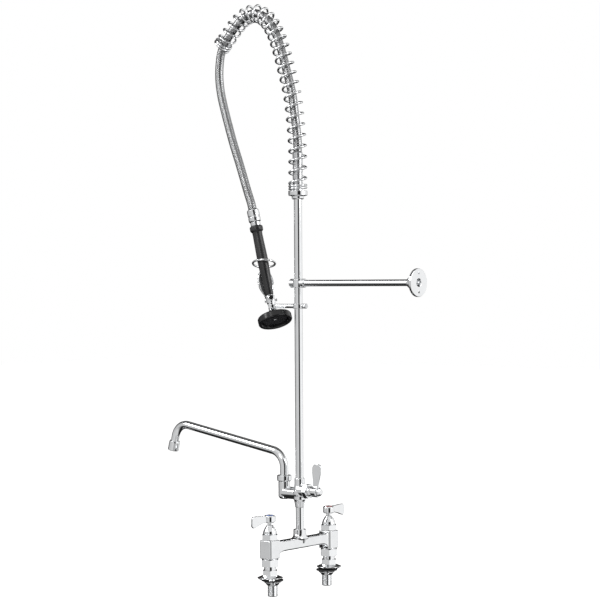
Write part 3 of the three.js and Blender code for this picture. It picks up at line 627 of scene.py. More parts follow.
def braid_strip(route, length, r0, r1):
    """Rows r0..r1 of a lattice whose two directions are the strands; row spacing is half a sample of the pitch."""
    K = 5
    step = BRAID_PITCH / (2 * K)
    s = np.arange(r0, r1 + 1) * step
    grid = np.linspace(0, length, len(route))
    c = np.stack([np.interp(s, grid, route[:, k]) for k in range(3)], 1)
    g = np.gradient(route, grid, axis=0)
    t = np.stack([np.interp(s, grid, g[:, k]) for k in range(3)], 1)
    t /= np.linalg.norm(t, axis=1)[:, None]
    u = np.array([1.0, 0, 0])
    w = np.cross(t, u)
    n = CARRIERS * K
    verts, faces, uvs = [], [], []
    for row, r in enumerate(range(r0, r1 + 1)):
        for j in range(n):
            col = 2 * j + (r & 1)
            a, b = (col + r) / (2 * K), (col - r) / (2 * K)
            fa, fb = a - math.floor(a), b - math.floor(b)
            if (math.floor(a) + math.floor(b)) % 2:
                cross, along = fa, fb
            else:
                cross, along = fb, fa
            h = (1 - abs(2 * cross - 1) ** 4) * math.sin(math.pi * along) ** 0.6 if 0 < along < 1 else 0.0
            ang = 2 * math.pi * col / (2 * n)
            rr = HOSE_R - 0.3 + 0.3 * h
            verts.append(c[row] + rr * (u * math.cos(ang) + w[row] * math.sin(ang)))
    rows = r1 - r0 + 1

    def idx(row, col):
        return row * n + ((col % (2 * n)) - ((r0 + row) & 1)) // 2

    for row in range(rows - 2):
        r = r0 + row
        for j in range(n):
            col = 2 * j + (r & 1)
            q = (idx(row, col), idx(row + 1, col + 1), idx(row + 2, col), idx(row + 1, col - 1))
            faces.append(q)
            for rr, cc in ((r, col), (r + 1, col + 1), (r + 2, col), (r + 1, col - 1)):
                uvs.append(((cc + rr) / (2 * K) / 200, (cc - rr) / (2 * K) / 200 + 1))
    # The two ragged ends are closed by triangles and a flat face.
    for row, inward in ((0, True), (rows - 1, False)):
        r = r0 + row
        near = row + 1 if inward else row - 1
        loop = []
        for j in range(n):
            col = 2 * j + (r & 1)
            tri = (idx(row, col), idx(row, col + 2), idx(near, col + 1))
            if inward:
                faces.append(tri)
                order = ((r, col), (r, col + 2), (r0 + near, col + 1))
            else:
                faces.append((tri[1], tri[0], tri[2]))
                order = ((r, col + 2), (r, col), (r0 + near, col + 1))
            for rr, cc in order:
                uvs.append(((cc + rr) / (2 * K) / 200, (cc - rr) / (2 * K) / 200 + 1))
            loop.append(idx(row, col))
        if inward:
            loop = loop[::-1]
        faces.append(tuple(loop))
        uvs += [(0.0, 1.0)] * len(loop)
    return (np.array(verts), faces), uvs, c


whole, whole_len = catmull([(0, y, z) for y, z in UP + DOWN], 1200)
K_STEP = BRAID_PITCH / 10
join_at = min(range(len(whole)), key=lambda i: abs(whole[i][1] + 213.5) + abs(whole[i][2] - 1150.2)) * whole_len / 1200
JOIN_ROW = int(round(join_at / K_STEP))
LAST_ROW = int(whole_len / K_STEP)
(up_shell, up_uv, up_line) = braid_strip(whole, whole_len, 0, JOIN_ROW)
(dn_shell, dn_uv, dn_line) = braid_strip(whole, whole_len, JOIN_ROW, LAST_ROW)
hose_upper = make("hose_upper", up_shell, "base", "braid", sharp=0, uv=up_uv, weighted=False)
hose_lower = make("hose_lower", dn_shell, None, "braid", sharp=0, uv=dn_uv, weighted=False)
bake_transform(hose_lower)


# ------------------------------------------------------------------ bridge body and the two deck valves
CENTRES = 203.2
HALF, BORE = CENTRES / 2, 16.4
INNER = HALF - BORE


def bar():
    """Cast bar: rounded section, flaring up and down into each housing."""
    def edge(x):
        d = INNER - abs(x)
        if d >= 24:
            return 60.0, 82.0, 0.0
        # The quadratic flare: x runs 0, 5, 24 and z runs out, level, level.
        t = (-10 + math.sqrt(100 + 56 * d)) / 28 if d > 0 else 0.0
        return (1 - t) ** 2 * 50.0 + (1 - (1 - t) ** 2) * 60.0, (1 - t) ** 2 * 85.5 + (1 - (1 - t) ** 2) * 82.0, (1 - t) ** 4
    xs = sorted({round(s * (INNER + 1 - d), 4) for s in (1, -1) for d in [0, 1, 1.3, 1.7, 2.2, 3, 4, 5, 6.5, 8, 10, 12, 14, 16, 18.5, 21, 23, 25]} | {-60, -40, -20, 0, 20, 40, 60})
    rows = []
    for x in xs:
        z0, z1, f = edge(min(abs(x), INNER))
        sec = rounded_rect(22 + 4.5 * f, z1 - z0, 3.6, 8)
        rows.append([(x, y, z + (z0 + z1) / 2) for y, z in sec])
    return rings(rows)


def housing(x):
    block = slab(rounded_rect(32.8, 32.8, 4.5, 9), 48.5, 87, 1.3, 1.3, T(x, 0, 0), steps=5)
    boss = lathe([[0, 40.2], [15.4, 40.2], [15.4, 47.6], [15.72, 49.5], [0, 50]], 96, 0.7, T(x, 0, 0))
    return block, boss


def collar_flare(r, z, a):
    if z > 92 or r < 13.5:
        return r
    k = max(0.0, (92 - z) / 10.5)
    return r + 9 * k**2.6 * abs(math.cos(a)) ** 3


collar = lathe([[0, 70], [11.5, 70], [13.95, 80.5], [13.95, 81.6], [13.95, 82.8], [13.95, 84], [13.95, 85.5], [13.95, 87.5], [13.95, 90], [13.95, 92.5],
                [13.95, 100], [0, 100]], 128, 0.9, radius=collar_flare)
shells = [bar(), collar]
for x in (HALF, -HALF):
    shells += housing(x)
body = fuse(*shells)
body = carve(body, rod(8.95, 86, 101, 64, 0, M=None), rod(12, 66, 91, 64, 0, T(HALF, 0, 0)), rod(12, 66, 91, 64, 0, T(-HALF, 0, 0)),
             rod(8, 38, 67, 48, 0, T(HALF, 0, 0)), rod(8, 38, 67, 48, 0, T(-HALF, 0, 0)))
make("bridge_body", body, "base", "cast_chrome", sharp=38)


def valve_side(side, sx, index_slot):
    x, xs = sx * HALF, sx * (HALF - 8)
    P, Q = T(x, 0, 0), T(xs, 0, 0)
    threads = [[0, -33], [9.4, -33], [10.65, -31.8]]
    z = -31.4
    while z < -9.5:
        threads += [[10.65, z], [9.95, z + 0.62], [9.95, z + 0.78], [10.65, z + 1.4]]
        z += 1.81
    pipe = lathe(threads + [[10.65, -1], [10.65, 4.2], [0, 4.2]], 64, 0.12, Q)
    rose = lathe([[0, 3.3], [20.5, 3.3], [26.6, 7], [27.2, 7.6], [26.8, 8.4], [19, 11.6], [16.2, 13.0], [0, 13.0]], 120, 0.8, P)
    nut = hexnut(30, 11, 24.4, M=P, turn=rad(10))
    tail = lathe([[0, 23], [12.8, 23], [12.8, 36.2], [14.6, 36.2], [14.6, 38.2], [0, 38.2]], 80, 0.3, P)
    shank = carve(fuse(pipe, rose, nut, tail), rod(7.5, -34, 2, 64, 0, Q), rod(8, 14, 39, 64, 0, P), rod(5, 1, 15, 48, 0, T((x + xs) / 2, 0, 0)))
    make(side + "_shank", shank, "base", "chrome")
    make(side + "_deck_washer", lathe([[11.05, 0], [23, 0], [23, 3], [11.05, 3]], 96, 0.5, Q), "base", "seal")
    lock = lathe([[11, -9.2], [12, -9.2], [12.6, -8.6], [14.2, -6], [17.6, -3.2], [17.6, -2.2], [11, -2.2]], 96, 0.25, Q)
    notches = [carve(slab(rounded_rect(50, 3, 0.3, 3), -12.5, -7.5, 0, 0, Q @ RZ(t + 20)), rod(12.4, -13.5, -6, 64, 0, Q)) for t in (0, 90)]
    make(side + "_lock_nut", carve(lock, *notches), side + "_nut", "chrome")
    cap = carve(hexnut(35.2, 31.4, 47.2, M=P, slope=0.5, turn=rad(10)), lathe([[0, 30], [13.2, 30], [13.2, 35.8], [15.8, 35.8], [15.8, 48], [0, 48]], 80, 0, P))
    make(side + "_coupling_nut", cap, "base", "chrome")
    make(side + "_union_gasket", lathe([[8.6, 38.5], [14.2, 38.5], [14.2, 39.9], [8.6, 39.9]], 64, 0.3, P), "base", "seal")
    screw = rod(11.6, 67, 88, 64, 0.8, P)
    hexpart = hexnut(32, 87.3, 100, M=P, turn=rad(10))
    dome = lathe([[0, 99.5], [14, 99.5], [14, 100.4], [14.8, 100.8], [14.8, 102.6], [13.8, 106.6], [11, 112.4], [8.4, 116.4], [7.2, 118.6], [0, 118.6]], 96, 1.4, P)
    make(side + "_bonnet", carve(fuse(screw, hexpart, dome), rod(5.8, 66, 120, 48, 0, P)), "base", "chrome")
    stem = lathe([[0, 70], [5, 70], [5, 124], [3.6, 124.3], [3.6, 133.4], [0, 133.4]], 48, 0.25, P)
    make(side + "_stem", stem, side + "_lever", "chrome")
    prof = outline((2, 126), (12.6, 125.6), ((26, 123.6), (36, 120)), ((45, 116.4), (49.5, 116.4)), ((55, 117.4), (55.4, 128.6)),
                   ((55, 140.2), (49.5, 140.9)), ((40, 141.2), (24, 140)), (2, 139.2))
    blade = slab(prof, -2.6, 2.6, 1.5, 1.5, RX(90), steps=5)
    hub = lathe([[0, 124.6], [10.5, 124.6], [12, 126.2], [12.4, 136.9], [10.8, 139.8], [0, 139.8]], 112, 1.0)
    handle = carve(fuse(hub, blade), rod(4, 123, 133.8, 48, 0), rod(7.6, 138.6, 143, 64, 0), rod(2.2, 132, 141, 32, 0))
    turn = P @ RZ(-5 if sx > 0 else 180)
    make(side + "_handle", move(handle, turn), side + "_lever", "chrome")
    make(side + "_index", lathe([[4.1, 138.9], [7.2, 138.9], [7.2, 140.6], [4.1, 140.6]], 80, 0.45, P), side + "_lever", index_slot)
    head = lathe([[0, 133.7], [1.8, 133.7], [1.8, 139], [3.7, 139], [3.7, 140.7], [2.6, 141.4], [0, 141.4]], 48, 0.3, P)
    head = carve(head, slab(rounded_rect(9, 0.9, 0.1, 2), 140.7, 142.4, 0, 0, P @ RZ(35)))
    make(side + "_handle_screw", head, side + "_lever", "steel")


valve_side("cold", 1, "index_blue")
valve_side("hot", -1, "index_red")

# ------------------------------------------------------------------ add-on faucet
make("stub_nipple", rod(8.65, 86.4, 156, 96, 0.6), "base", "chrome")
SPOUT_Y, AX = -42.5, 183
lower = lathe([[0, 147], [8.9, 147], [9.6, 148], [11.6, 160], [13.2, 164.4], [13.2, 176], [0, 176]], 112, 1.6)
upper = lathe([[0, 180], [12.2, 180], [12.2, 190], [11.2, 196], [11, 209], [10.2, 210.5], [0, 210.5]], 112, 1.4)
ball = lathe([[0, 178 - 15]] + [[15 * math.sin(rad(a)), 178 - 15 * math.cos(rad(a))] for a in range(6, 180, 6)] + [[0, 178 + 15]], 112, 0.1)
arm = lathe([[0, 0], [13.2, 0], [13.2, 42.5], [0, 42.5]], 112, 0.4, T(0, 0, 176.6) @ RX(90))
cup = lathe([[0, 162.4], [6.5, 162.4], [10.6, 164.4], [12.7, 168.5], [12.7, 201.4], [0, 201.4]], 112, 1.2, T(0, SPOUT_Y, 0))
barrel = rod(14.2, 0, 17, 112, 1.0, T(0, 0, AX) @ RX(-90))
b = fuse(ball, lower, upper, arm, cup, barrel)
b = carve(b, rod(8.95, 140, 156.4, 64, 0), rod(8.95, 198, 215, 64, 0), rod(9.4, 182, 203, 64, 0, T(0, SPOUT_Y, 0)), rod(9, 4, 18, 64, 0, T(0, 0, AX) @ RX(-90)))
make("addon_body", b, "base", "cast_chrome", sharp=38)
Y = T(0, 0, AX) @ RX(-90)
bn = fuse(hexnut(29.6, 17.4, 27, turn=math.pi / 6), rod(8.6, 6, 18, 64, 0.5), lathe([[0, 26.5], [11.4, 26.5], [11, 31], [8.6, 35], [0, 35]], 96, 1.2))
make("addon_bonnet", move(carve(bn, rod(5.3, 5, 36, 48, 0)), Y), "base", "chrome")
make("addon_stem", lathe([[0, 8], [4.6, 8], [4.6, 36.6], [3.4, 36.9], [3.4, 47], [0, 47]], 48, 0.25, Y), "addon_lever", "chrome")
lv = outline((37.2, 3), (38.2, 12), ((38.6, 21), (36.4, 36)), ((35.2, 46), (36.4, 52)), ((38.2, 59.4), (48, 60)), ((58.6, 59.6), (59.4, 53)),
             ((59.6, 46), (56.4, 34)), ((52.6, 20), (51.4, 11)), (51.4, 3))
blade = slab(lv, -2.5, 2.5, 1.4, 1.4, T(0, 0, AX) @ RZ(90) @ RX(90), steps=5)
hub = lathe([[0, 36.8], [10.4, 36.8], [11.6, 38], [11.6, 49.5], [10.4, 51.4], [0, 51.4]], 112, 0.8, Y)
make("addon_handle", carve(fuse(hub, blade), rod(3.8, 36, 47.4, 48, 0, Y), rod(6.4, 49, 53, 64, 0, Y)), "addon_lever", "chrome")
make("addon_cap", lathe([[0, 49.3], [6, 49.3], [6, 51.8], [8.8, 51.8], [9, 54], [8, 56.6], [5, 58.2], [0, 58.8]], 96, 0.9, Y), "addon_lever", "chrome")

# Swing spout.
nut = lathe([[9.4, 201.8], [14.6, 201.8], [15.6, 203], [15.6, 213.4], [14.6, 214.4], [9.4, 214.4]], 128, 0.6)
make("spout_nut", move(nut, T(0, SPOUT_Y, 0)), "base", "chrome")
RISE, LEAN = 10.05, 14
s_up, s_out = np.array([0, 0, 1.0]), np.array([0, -math.cos(rad(RISE)), math.sin(rad(RISE))])
s_down = np.array([0, -math.sin(rad(LEAN)), -math.cos(rad(LEAN))])
c1, c2 = np.array([0, SPOUT_Y, 261.3]), np.array([0, -352.4, 316.2])
t1, t2 = 38 * math.tan(rad((90 - RISE) / 2)), 33 * math.tan(rad((90 + RISE - LEAN) / 2))
tip = c2 + s_down * 57


def bend(p, d0, q, d1, l, n):
    a, b = p + d0 * l, q - d1 * l
    return [(1 - t) ** 3 * p + 3 * (1 - t) ** 2 * t * a + 3 * (1 - t) * t * t * b + t**3 * q for t in (i / n for i in range(n + 1))]


line = [np.array([0, SPOUT_Y, 182.6]), np.array([0, SPOUT_Y, 187.0])]
line += [np.array([0, SPOUT_Y, z]) for z in (200.0, 215.0)]
line += bend(c1 - s_up * t1, s_up, c1 + s_out * t1, s_out, t1 * 0.58, 28)
line += [c1 + s_out * t1 + (c2 - s_out * t2 - c1 - s_out * t1) * f for f in (0.04, 0.2, 0.4, 0.6, 0.8, 0.96)]
line += bend(c2 - s_out * t2, s_out, c2 + s_down * t2, s_down, t2 * 0.56, 32)
line += [c2 + s_down * (t2 + (57 - t2) * f) for f in (0.1, 0.6, 1.0)]
spout = tube(line, 9, 96, bore=7.2, bore_depth=24)
spout = carve(spout, lathe([[7.8, 187], [11, 187], [11, 190.2], [7.8, 190.2]], 64, 0, T(0, SPOUT_Y, 0)))
make("spout_tube", spout, "spout", "chrome", sharp=40)
make("spout_oring", lathe([[8.1 + 0.0, 188.6 - 0.9], [9.1, 187.7], [9.1, 189.5], [8.1, 189.5]], 64, 0.4, T(0, SPOUT_Y, 0)), "spout", "seal")
M = T(*tip) @ turn_to(s_down)
make("spout_outlet", lathe([[9.35, -13], [11.2, -13], [12.1, -10], [12.4, 8], [11.7, 9], [8.4, 9], [8.4, 0.4], [9.35, 0.4]], 112, 0.6, M), "spout", "chrome")

# ------------------------------------------------------------------ riser and spring
make("riser_pipe", rod(8.65, 198.4, 826, 112, 0.6), "base", "chrome")
c = lathe([[0, 812], [11.5, 812], [13, 814], [13.5, 819], [19.5, 820], [20.5, 821], [20.5, 829.6], [20, 830.5], [0, 830.5]], 128, 0.9)
make("spring_collar", carve(c, rod(8.95, 811, 826.4, 64, 0), rod(6.3, 820, 832, 48, 0)), "base", "chrome")
make("hose_adapter", lathe([[0, 827], [6, 827], [6, 831], [10, 831], [10, 837.6], [0, 837.6]], 80, 0.5), "base", "chrome")
# Crimped sleeve that holds the hose: three pressed bands.
sleeve = [[0, 838], [10.8, 838]]
for z in (852, 868, 884):
    sleeve += [[10.8, z - 3.4], [10.25, z - 2.4], [10.25, z + 2.4], [10.8, z + 3.4]]
make("hose_sleeve", lathe(sleeve + [[10.8, 912], [9.4, 914.7], [0, 914.7]], 96, 0.5), "base", "steel")

ARCH = [[0, 830], [0, 874], [0, 918], [-6, 987], [-14, 1040], [-30, 1096], [-43.5, 1138], [-60, 1177], [-84, 1209],
        [-115, 1224], [-145, 1219], [-169.5, 1203], [-194, 1179], [-218, 1156]]
WIRE, COIL_R = 2.4, 18.1


def spring_line(per_turn):
    arch, L = catmull([(0, y, z) for y, z in ARCH], 4000)
    N = 400

    def pitch(d):
        if d < 12 or d > L - 12:
            return 5.6
        u = d / L
        if u < 0.5:
            return 23.5 - 1.5 * max(0, (u - 0.3) / 0.2)
        return 22 - 4.5 * math.sin(min(1, (u - 0.5) / 0.25) * math.pi / 2) + 3 * max(0, (u - 0.8) / 0.2)

    table = np.concatenate([[0], np.cumsum([L / N / pitch((i + 0.5) * L / N) for i in range(N)])])
    total, margin = table[-1], WIRE + 0.5
    want = np.linspace(0, total, int(total * per_turn) + 1)
    d = np.interp(want, table, np.linspace(0, 1, N + 1))
    s = margin + d * (L - 2 * margin)
    at = np.linspace(0, L, len(arch))
    g = np.gradient(arch, at, axis=0)
    p = np.stack([np.interp(s, at, arch[:, k]) for k in range(3)], 1)
    t = np.stack([np.interp(s, at, g[:, k]) for k in range(3)], 1)
    t /= np.linalg.norm(t, axis=1)[:, None]
    X = np.array([1.0, 0, 0])
    B = np.cross(t, X)
    B /= np.linalg.norm(B, axis=1)[:, None]
    a = 2 * math.pi * (want - 0.44)
    return p + COIL_R * (np.cos(a)[:, None] * X + np.sin(a)[:, None] * B)


make("spring", tube(list(spring_line(44)), WIRE, 14, fil=0.3), "base", "chrome", sharp=50)

# ------------------------------------------------------------------ wall bracket
BZ, WALL = 631, 318
out, inw = T(0, 0, BZ) @ RX(-90), T(0, 0, BZ) @ RX(90)
c = lathe([[0, BZ - 9.5], [12, BZ - 9.5], [12.7, BZ - 8.7], [12.7, BZ + 8.7], [12, BZ + 9.5], [0, BZ + 9.5]], 112, 0.8)
c = fuse(c, lathe([[0, 0], [9.5, 0], [9.5, 18.4], [8.8, 19.2], [0, 19.2]], 96, 0.7, out), lathe([[0, 0], [9.5, 0], [9.5, 18.9], [8.6, 20], [0, 20]], 96, 0.8, inw))
c = carve(c, rod(9.0, BZ - 12, BZ + 12, 64, 0), rod(7.3, 9.9, 21, 64, 0, out), rod(3.3, 8, 17, 48, 0, inw), rod(4.4, 16.4, 21, 48, 0, inw))
make("bracket_clamp", c, "base", "chrome")
pinch = carve(lathe([[0, 9.4], [3, 9.4], [3, 17], [4, 17], [4, 19], [3.6, 19.4], [0, 19.4]], 48, 0.25),
              slab([(1.9 * math.cos(rad(60 * i)), 1.9 * math.sin(rad(60 * i))) for i in range(6)], 17.4, 21, 0, 0))
make("clamp_screw", move(pinch, inw), "base", "steel")
make("bracket_tube", rod(7, 10.2, 303, 96, 0.8, out), "base", "chrome")
f = lathe([[7.3, WALL - 25], [10, WALL - 25], [11.2, WALL - 23.6], [12.2, WALL - 17], [16.4, WALL - 11], [23.4, WALL - 7.4],
           [28.8, WALL - 6.2], [29.5, WALL - 5], [29.5, WALL - 0.8], [28.8, WALL], [8, WALL], [8, WALL - 12], [7.3, WALL - 14]], 128, 1.6, out)
holes = [lathe([[0, WALL - 16], [5.2, WALL - 16], [5.2, WALL - 8.4], [2.4, WALL - 6.4], [2.4, WALL + 2], [0, WALL + 2]], 48, 0, T(0, 0, BZ + dz) @ RX(-90)) for dz in (19.8, -19.8)]
make("wall_flange", carve(f, *holes), "base", "chrome", sharp=38)

# ------------------------------------------------------------------ finger hook
HZ, NECK = 581.5, -74.7
c = lathe([[0, HZ - 5.2], [11.6, HZ - 5.2], [12.2, HZ - 4.6], [12.2, HZ + 4.6], [11.6, HZ + 5.2], [0, HZ + 5.2]], 112, 0.7)
stub = rod(5, 0, 14, 64, 0.5, T(0, 0, HZ) @ RX(-90))
hook_arm = rod(4.6, 9, 62, 64, 0.2, T(0, 0, HZ) @ RX(90))
fork = []
for i in range(61):
    a = rad(-6 + 192 * i / 60)
    fork.append((14.2 * math.cos(a), NECK + 14.2 * math.sin(a)))
for i in range(61):
    a = rad(186 - 192 * i / 60)
    fork.append((9.9 * math.cos(a), NECK + 9.9 * math.sin(a)))
fork = [q for q in fork if q[1] >= NECK + 1.4] or fork
saddle = slab(fork, HZ - 4.5, HZ + 4.5, 1.0, 1.0)
c = fuse(c, stub, hook_arm, saddle)
make("finger_hook", carve(c, rod(9.0, HZ - 12, HZ + 12, 64, 0), rod(2.6, 8, 19, 48, 0, T(0, 0, HZ) @ RX(-90))), "base", "chrome", sharp=38)
knurl = lambda r, z, a: r - (0.28 * (0.5 + 0.5 * math.cos(24 * a)) if r > 5.1 and 16.4 < z < 21.2 else 0)
t = lathe([[0, 9.5], [2.3, 9.5], [2.3, 14.6], [3.4, 14.6], [4.9, 15.4], [5.3, 16.2], [5.3, 16.5], [5.3, 21.1], [5.3, 21.4], [4.7, 22.2], [0, 22.2]], 144, 0.2,
          T(0, 0, HZ) @ RX(-90), radius=knurl)
make("hook_thumbscrew", t, "base", "steel")

# ------------------------------------------------------------------ spray valve
# Local frame: z up the grip from its lower end, +y towards the spray side, lever on -y.
TILT, YAW, HEAD = 14.1, 43, 15
S = T(0, -80.6, 605.5) @ RX(TILT) @ RZ(-YAW)
ferrule = lathe([[0, 165.6], [12, 165.6], [13.3, 167], [13.3, 174.5], [12.5, 175.5], [12.5, 177.5], [13.3, 178.5], [13.3, 190.5], [11.8, 193], [0, 193]], 112, 0.6, S)
make("hose_ferrule", ferrule, "hose_end", "chrome")
make("swivel_ring", lathe([[7.4, 156.4], [10.8, 156.4], [10.8, 165.2], [7.4, 165.2]], 96, 0.7, S), "spray", "chrome")
make("handle_pipe", rod(6.6, -1.6, 165.1, 64, 0.4, S), "spray", "steel")
grip = lathe([[7, 0], [8, 0], [8.6, 1.2], [9.4, 14], [10.4, 38], [11.6, 60], [12, 78], [11.4, 110], [10.8, 136], [11.2, 142],
              [13.6, 144.4], [14.5, 146], [14.5, 153.4], [13.4, 155.6], [7, 155.6]], 128, 2.2, S)
make("grip", grip, "spray", "grip", sharp=45)

ring_at = S @ T(-2.2, -6.2, 72)
ring_m = T(*ring_at.translation) @ turn_to(Vector((-0.298, -0.224, 1)).normalized())
torus = lathe([[24.3 + 2.25 * math.cos(rad(a)), 2.25 * math.sin(rad(a))] for a in range(0, 360, 20)], 144, 0.1, ring_m)
make("hold_down_ring", torus, "ring", "chrome", sharp=60)

H = T(0, 0, -31.7) @ RX(HEAD)
b = lathe([[0, -34.6], [4, -34.2], [7.2, -32.2], [8.2, -29.5], [8.2, -21], [9.6, -17.5], [9.6, -6], [9.8, -3.6], [9.4, -2], [0, -2]], 112, 1.2)
b = fuse(b, rod(5.8, 0, 14, 80, 0.5, T(0, 0, -7.4) @ RX(90)), rod(6.8, 0, 12.4, 80, 0.6, T(0, 0, -8) @ RX(-90)),
         lathe([[0, 1], [8.2, 1], [8.2, -3.6], [0, -3.6]], 96, 0.4, H))
b = carve(b, rod(6.9, -2.9, 1, 64, 0), rod(3.3, 7.4, 15, 48, 0, T(0, 0, -7.4) @ RX(90)), rod(1.9, -13, 13, 48, 0, T(0, -2, -13) @ RY(90)),
          rod(4.2, 9.4, 13, 48, 0, T(0, 0, -8) @ RX(-90)))
make("valve_body", move(b, S), "spray", "chrome", sharp=38)
cap = lathe([[0, 9.7], [3.9, 9.7], [3.9, 12.8], [6.2, 12.8], [6.2, 14.2], [5, 15.2], [0, 15.2]], 80, 0.5)
cap = carve(cap, slab(rounded_rect(9, 1.0, 0.1, 2), 14.5, 16, 0, 0, RZ(20)))
make("front_cap", move(cap, S @ T(0, 0, -8) @ RX(-90)), "spray", "chrome")
make("plunger", lathe([[0, 9.4], [3, 9.4], [3, 17.2], [2.2, 18.2], [0, 18.2]], 64, 0.6, S @ T(0, 0, -7.4) @ RX(90)), "press", "steel")

wide = [[-2, 9], [6, 9.8], [14, 13.4], [24, 16.6], [34, 17.4], [46, 15.8], [54, 13.2]]


def plan(inset, top):
    right, _ = catmull([(h - inset, w) for w, h in wide], 40)
    pts = [tuple(p) for p in right]
    pts += bezier2(pts[-1], (10.4 - inset, top), (0, top), 10)
    left = [(-x, y) for x, y in pts[:41]][::-1]
    pts += bezier2((0, top), (-10.4 + inset, top), left[0], 10)
    return pts + left[1:]


lever = slab(plan(0, 60.5), 13.4, 20.8, 0.6, 2.6, RX(90), steps=5)
lever = carve(lever, slab(plan(1.8, 58.7), 10, 18.9, 0, 1.4, RX(90), steps=4))
ear = [(-20.8, 8), (-20.8, -8), (-9, -19.6)] + [(-2 + 7.4 * math.cos(rad(a)), -13 + 7.4 * math.sin(rad(a))) for a in range(225, 406, 12)] + [(-13.6, 3), (-13.6, 8)]
ears = [slab(ear, -1, 1, 0.35, 0.35, T(sx * 11.2, 0, 0) @ RZ(90) @ RX(90)) for sx in (1, -1)]
web = slab(rounded_rect(24.4, 14, 1.0, 4), -1, 1, 0.4, 0.4, T(0, -19.8, 1) @ RX(90))
lever = carve(fuse(lever, *ears, web), rod(1.9, -14, 14, 48, 0, T(0, -2, -13) @ RY(90)))
rest_m = T(0, -2, -13) @ RX(6) @ T(0, 2, 13)
make("squeeze_lever", move(lever, S @ rest_m), "squeeze", "chrome", sharp=38)
pin = lathe([[0, -12.5], [3.2, -12.5], [3.2, -12.4], [1.6, -12.4], [1.6, 12.5], [3, 12.5], [3, 14], [0, 14]], 48, 0.3, S @ T(0, -2, -13) @ RY(-90))
make("lever_pin", pin, "spray", "steel")

# Head.
HM = S @ H
bell = lathe([[0, -3.9], [8.6, -3.9], [10.4, -6], [14, -9.6], [20, -12.6], [26.5, -14.4], [29.6, -16], [30, -17.4], [0, -17.4]], 144, 2.4, HM)
make("head_bell", bell, "spray", "chrome")
bumper = lathe([[28.6, -17.8], [36.2, -17.8], [37.4, -20], [37.4, -30.4], [36, -32.6], [31, -32.6], [29.2, -30.8], [28.6, -27]], 144, 0.9, HM)
make("bumper", bumper, "spray", "bumper", sharp=45)
face = lathe([[0, -18], [28.2, -18], [28.2, -25.2], [27, -26], [4.4, -26], [4.4, -23], [0, -23]], 128, 0.5, HM)
jets = []
for r, n in ((11, 8), (17, 12), (23, 16)):
    for i in range(n):
        a = 2 * math.pi * (i + (0.5 if n == 12 else 0)) / n
        jets.append(rod(0.95, -27, -24.6, 12, 0, HM @ T(r * math.cos(a), r * math.sin(a), 0)))
make("spray_face", carve(face, join(*jets)), "spray", "face", sharp=35)
screw = carve(lathe([[0, -23.4], [4, -23.4], [4, -26.8], [3, -27.8], [0, -27.8]], 64, 0.5), slab(rounded_rect(10, 1.0, 0.1, 2), -29, -26.9, 0, 0))
make("face_screw", move(screw, HM), "spray", "steel")


# ------------------------------------------------------------------ what surrounds the object
# Degrees to the right of the camera's side, and how light the wall is there.
WALLS = [(-180, 0.03), (-132, 0.03), (-118, 0.34), (-102, 0.56), (-60, 0.64), (-30, 0.72), (-8, 0.66), (0, 0.02), (31, 0.02), (38, 0.98),
         (60, 1.05), (95, 1.0), (138, 1.0), (147, 0.6), (153, 0.03), (180, 0.03)]
CEIL = (0.45, 0.62, 0.82)  # from this height, to this, the walls become a white ceiling
DOWN_AT = (-0.47, -0.27, 0.02)  # below this the mirrors see a dark table top
BEYOND = (-0.05, 0.22, 0.13)  # the same for the ceiling, and how dim it is beyond the object
NEAR = (0.10, 0.45, 0.70)  # how far towards the camera the table turns pale, and how pale
BOXES = [
    ("key", (2.6, -2.2, 2.6), (1.6, 1.6), 55),
    ("fill", (-1.2, 3.4, 1.8), (1.4, 1.8), 35),
    ("front", (3.4, 0.6, 2.4), (1.0, 1.0), 22),
]


# ------------------------------------------------------------------ stage: pale floor, soft light
floor_me = bpy.data.meshes.new("floor")
floor_me.from_pydata([(-9, -9, 0), (9, -9, 0), (9, 9, 0), (-9, 9, 0)], [], [(0, 1, 2, 3)])
floor = bpy.data.objects.new("floor", floor_me)
floor.location.z = -0.0335
scene.collection.objects.link(floor)
fm, nt, fb = principled("floor", (0.92, 0.92, 0.92), 0.0)
fb.inputs["Roughness"].default_value = 0.9
fb.inputs["Specular IOR Level"].default_value = 0.0
fb.inputs["Emission Color"].default_value = (1, 1, 1, 1)
fb.inputs["Emission Strength"].default_value = 0.62
grain = noise(nt, 6, 3, 0.5)
tint = ramp(nt, grain.outputs["Fac"], [(0.3, 0.91), (0.7, 0.93)])
nt.links.new(tint.outputs["Color"], fb.inputs["Base Color"])
floor.visible_glossy = False  # polished metal shows the studio's walls and table instead
floor_me.materials.append(fm)

# Studio walls, as bands of light and dark round the object: what polished chrome shows.
world = bpy.data.worlds.new("studio")
scene.world = world
world.use_nodes = True
nt = world.node_tree
bg = nt.nodes["Background"]
tc = node(nt, "ShaderNodeTexCoord")
sp = node(nt, "ShaderNodeSeparateXYZ")
nt.links.new(tc.outputs["Generated"], sp.inputs[0])
az = node(nt, "ShaderNodeMath", operation="ARCTAN2")
nt.links.new(sp.outputs["Y"], az.inputs[0])
nt.links.new(sp.outputs["X"], az.inputs[1])
FRONT = rad(38.7)  # the side the camera is on
shift = node(nt, "ShaderNodeMath", operation="SUBTRACT", in_1=FRONT - math.pi)
nt.links.new(az.outputs[0], shift.inputs[0])
part = node(nt, "ShaderNodeMath", operation="DIVIDE", in_1=2 * math.pi)
nt.links.new(shift.outputs[0], part.inputs[0])
frac = node(nt, "ShaderNodeMath", operation="FRACT")
nt.links.new(part.outputs[0], frac.inputs[0])


def node_range(nt, src, lo, hi):
    r = node(nt, "ShaderNodeMapRange", in_1=lo, in_2=hi, in_3=0.0, in_4=1.0)
    nt.links.new(src, r.inputs[0])
    return r.outputs[0]


def deg(t):
    return (t + 180) / 360


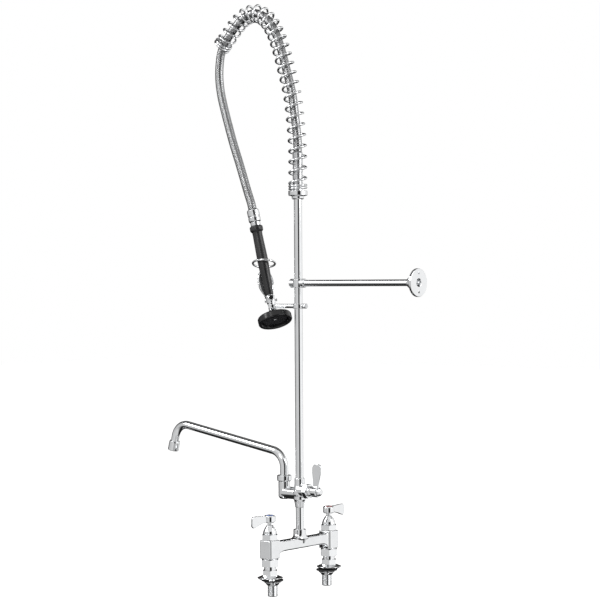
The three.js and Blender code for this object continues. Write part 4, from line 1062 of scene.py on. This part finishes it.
around = ramp(nt, frac.outputs[0], [(deg(a), v) for a, v in WALLS])
hi = node(nt, "ShaderNodeMapRange", in_1=CEIL[0], in_2=CEIL[1], in_3=0.0, in_4=1.0)
nt.links.new(sp.outputs["Z"], hi.inputs[0])
mixc = node(nt, "ShaderNodeMix", data_type="RGBA")
nt.links.new(hi.outputs[0], mixc.inputs["Factor"])
nt.links.new(around.outputs["Color"], mixc.inputs["A"])
# The ceiling is dim beyond the object and white on the camera's side.
toward = node(nt, "ShaderNodeVectorMath", operation="DOT_PRODUCT")
nt.links.new(tc.outputs["Generated"], toward.inputs[0])
toward.inputs[1].default_value = (math.cos(FRONT), math.sin(FRONT), 0.0)
over = ramp(nt, node_range(nt, toward.outputs["Value"], BEYOND[0], BEYOND[1]), [(0.0, BEYOND[2]), (1.0, CEIL[2])])
nt.links.new(over.outputs["Color"], mixc.inputs["B"])
lo = node(nt, "ShaderNodeMapRange", in_1=DOWN_AT[0], in_2=DOWN_AT[1], in_3=0.0, in_4=1.0)
nt.links.new(sp.outputs["Z"], lo.inputs[0])
table = node(nt, "ShaderNodeMix", data_type="RGBA")
nt.links.new(lo.outputs[0], table.inputs["Factor"])
# The table is dark beyond the object and pale on the camera's side.
top = ramp(nt, node_range(nt, toward.outputs["Value"], NEAR[0], NEAR[1]), [(0.0, DOWN_AT[2]), (1.0, NEAR[2])])
nt.links.new(top.outputs["Color"], table.inputs["A"])
nt.links.new(mixc.outputs["Result"], table.inputs["B"])
lp = node(nt, "ShaderNodeLightPath")
seen = node(nt, "ShaderNodeMix", data_type="RGBA")
nt.links.new(lp.outputs["Is Camera Ray"], seen.inputs["Factor"])
nt.links.new(table.outputs["Result"], seen.inputs["A"])
seen.inputs["B"].default_value = (1.0, 1.0, 1.0, 1)
nt.links.new(seen.outputs["Result"], bg.inputs["Color"])
bg.inputs["Strength"].default_value = 1.0


def softbox(name, at, size, power, target=(0, -0.1, 0.6)):
    d = bpy.data.lights.new(name, "AREA")
    d.shape, d.size, d.size_y, d.energy = "RECTANGLE", size[0], size[1], power
    o = bpy.data.objects.new(name, d)
    scene.collection.objects.link(o)
    o.location = at
    o.rotation_euler = (Vector(target) - Vector(at)).to_track_quat("-Z", "Y").to_euler()
    return o


for name, at, size, power in BOXES:
    softbox(name, at, size, power)
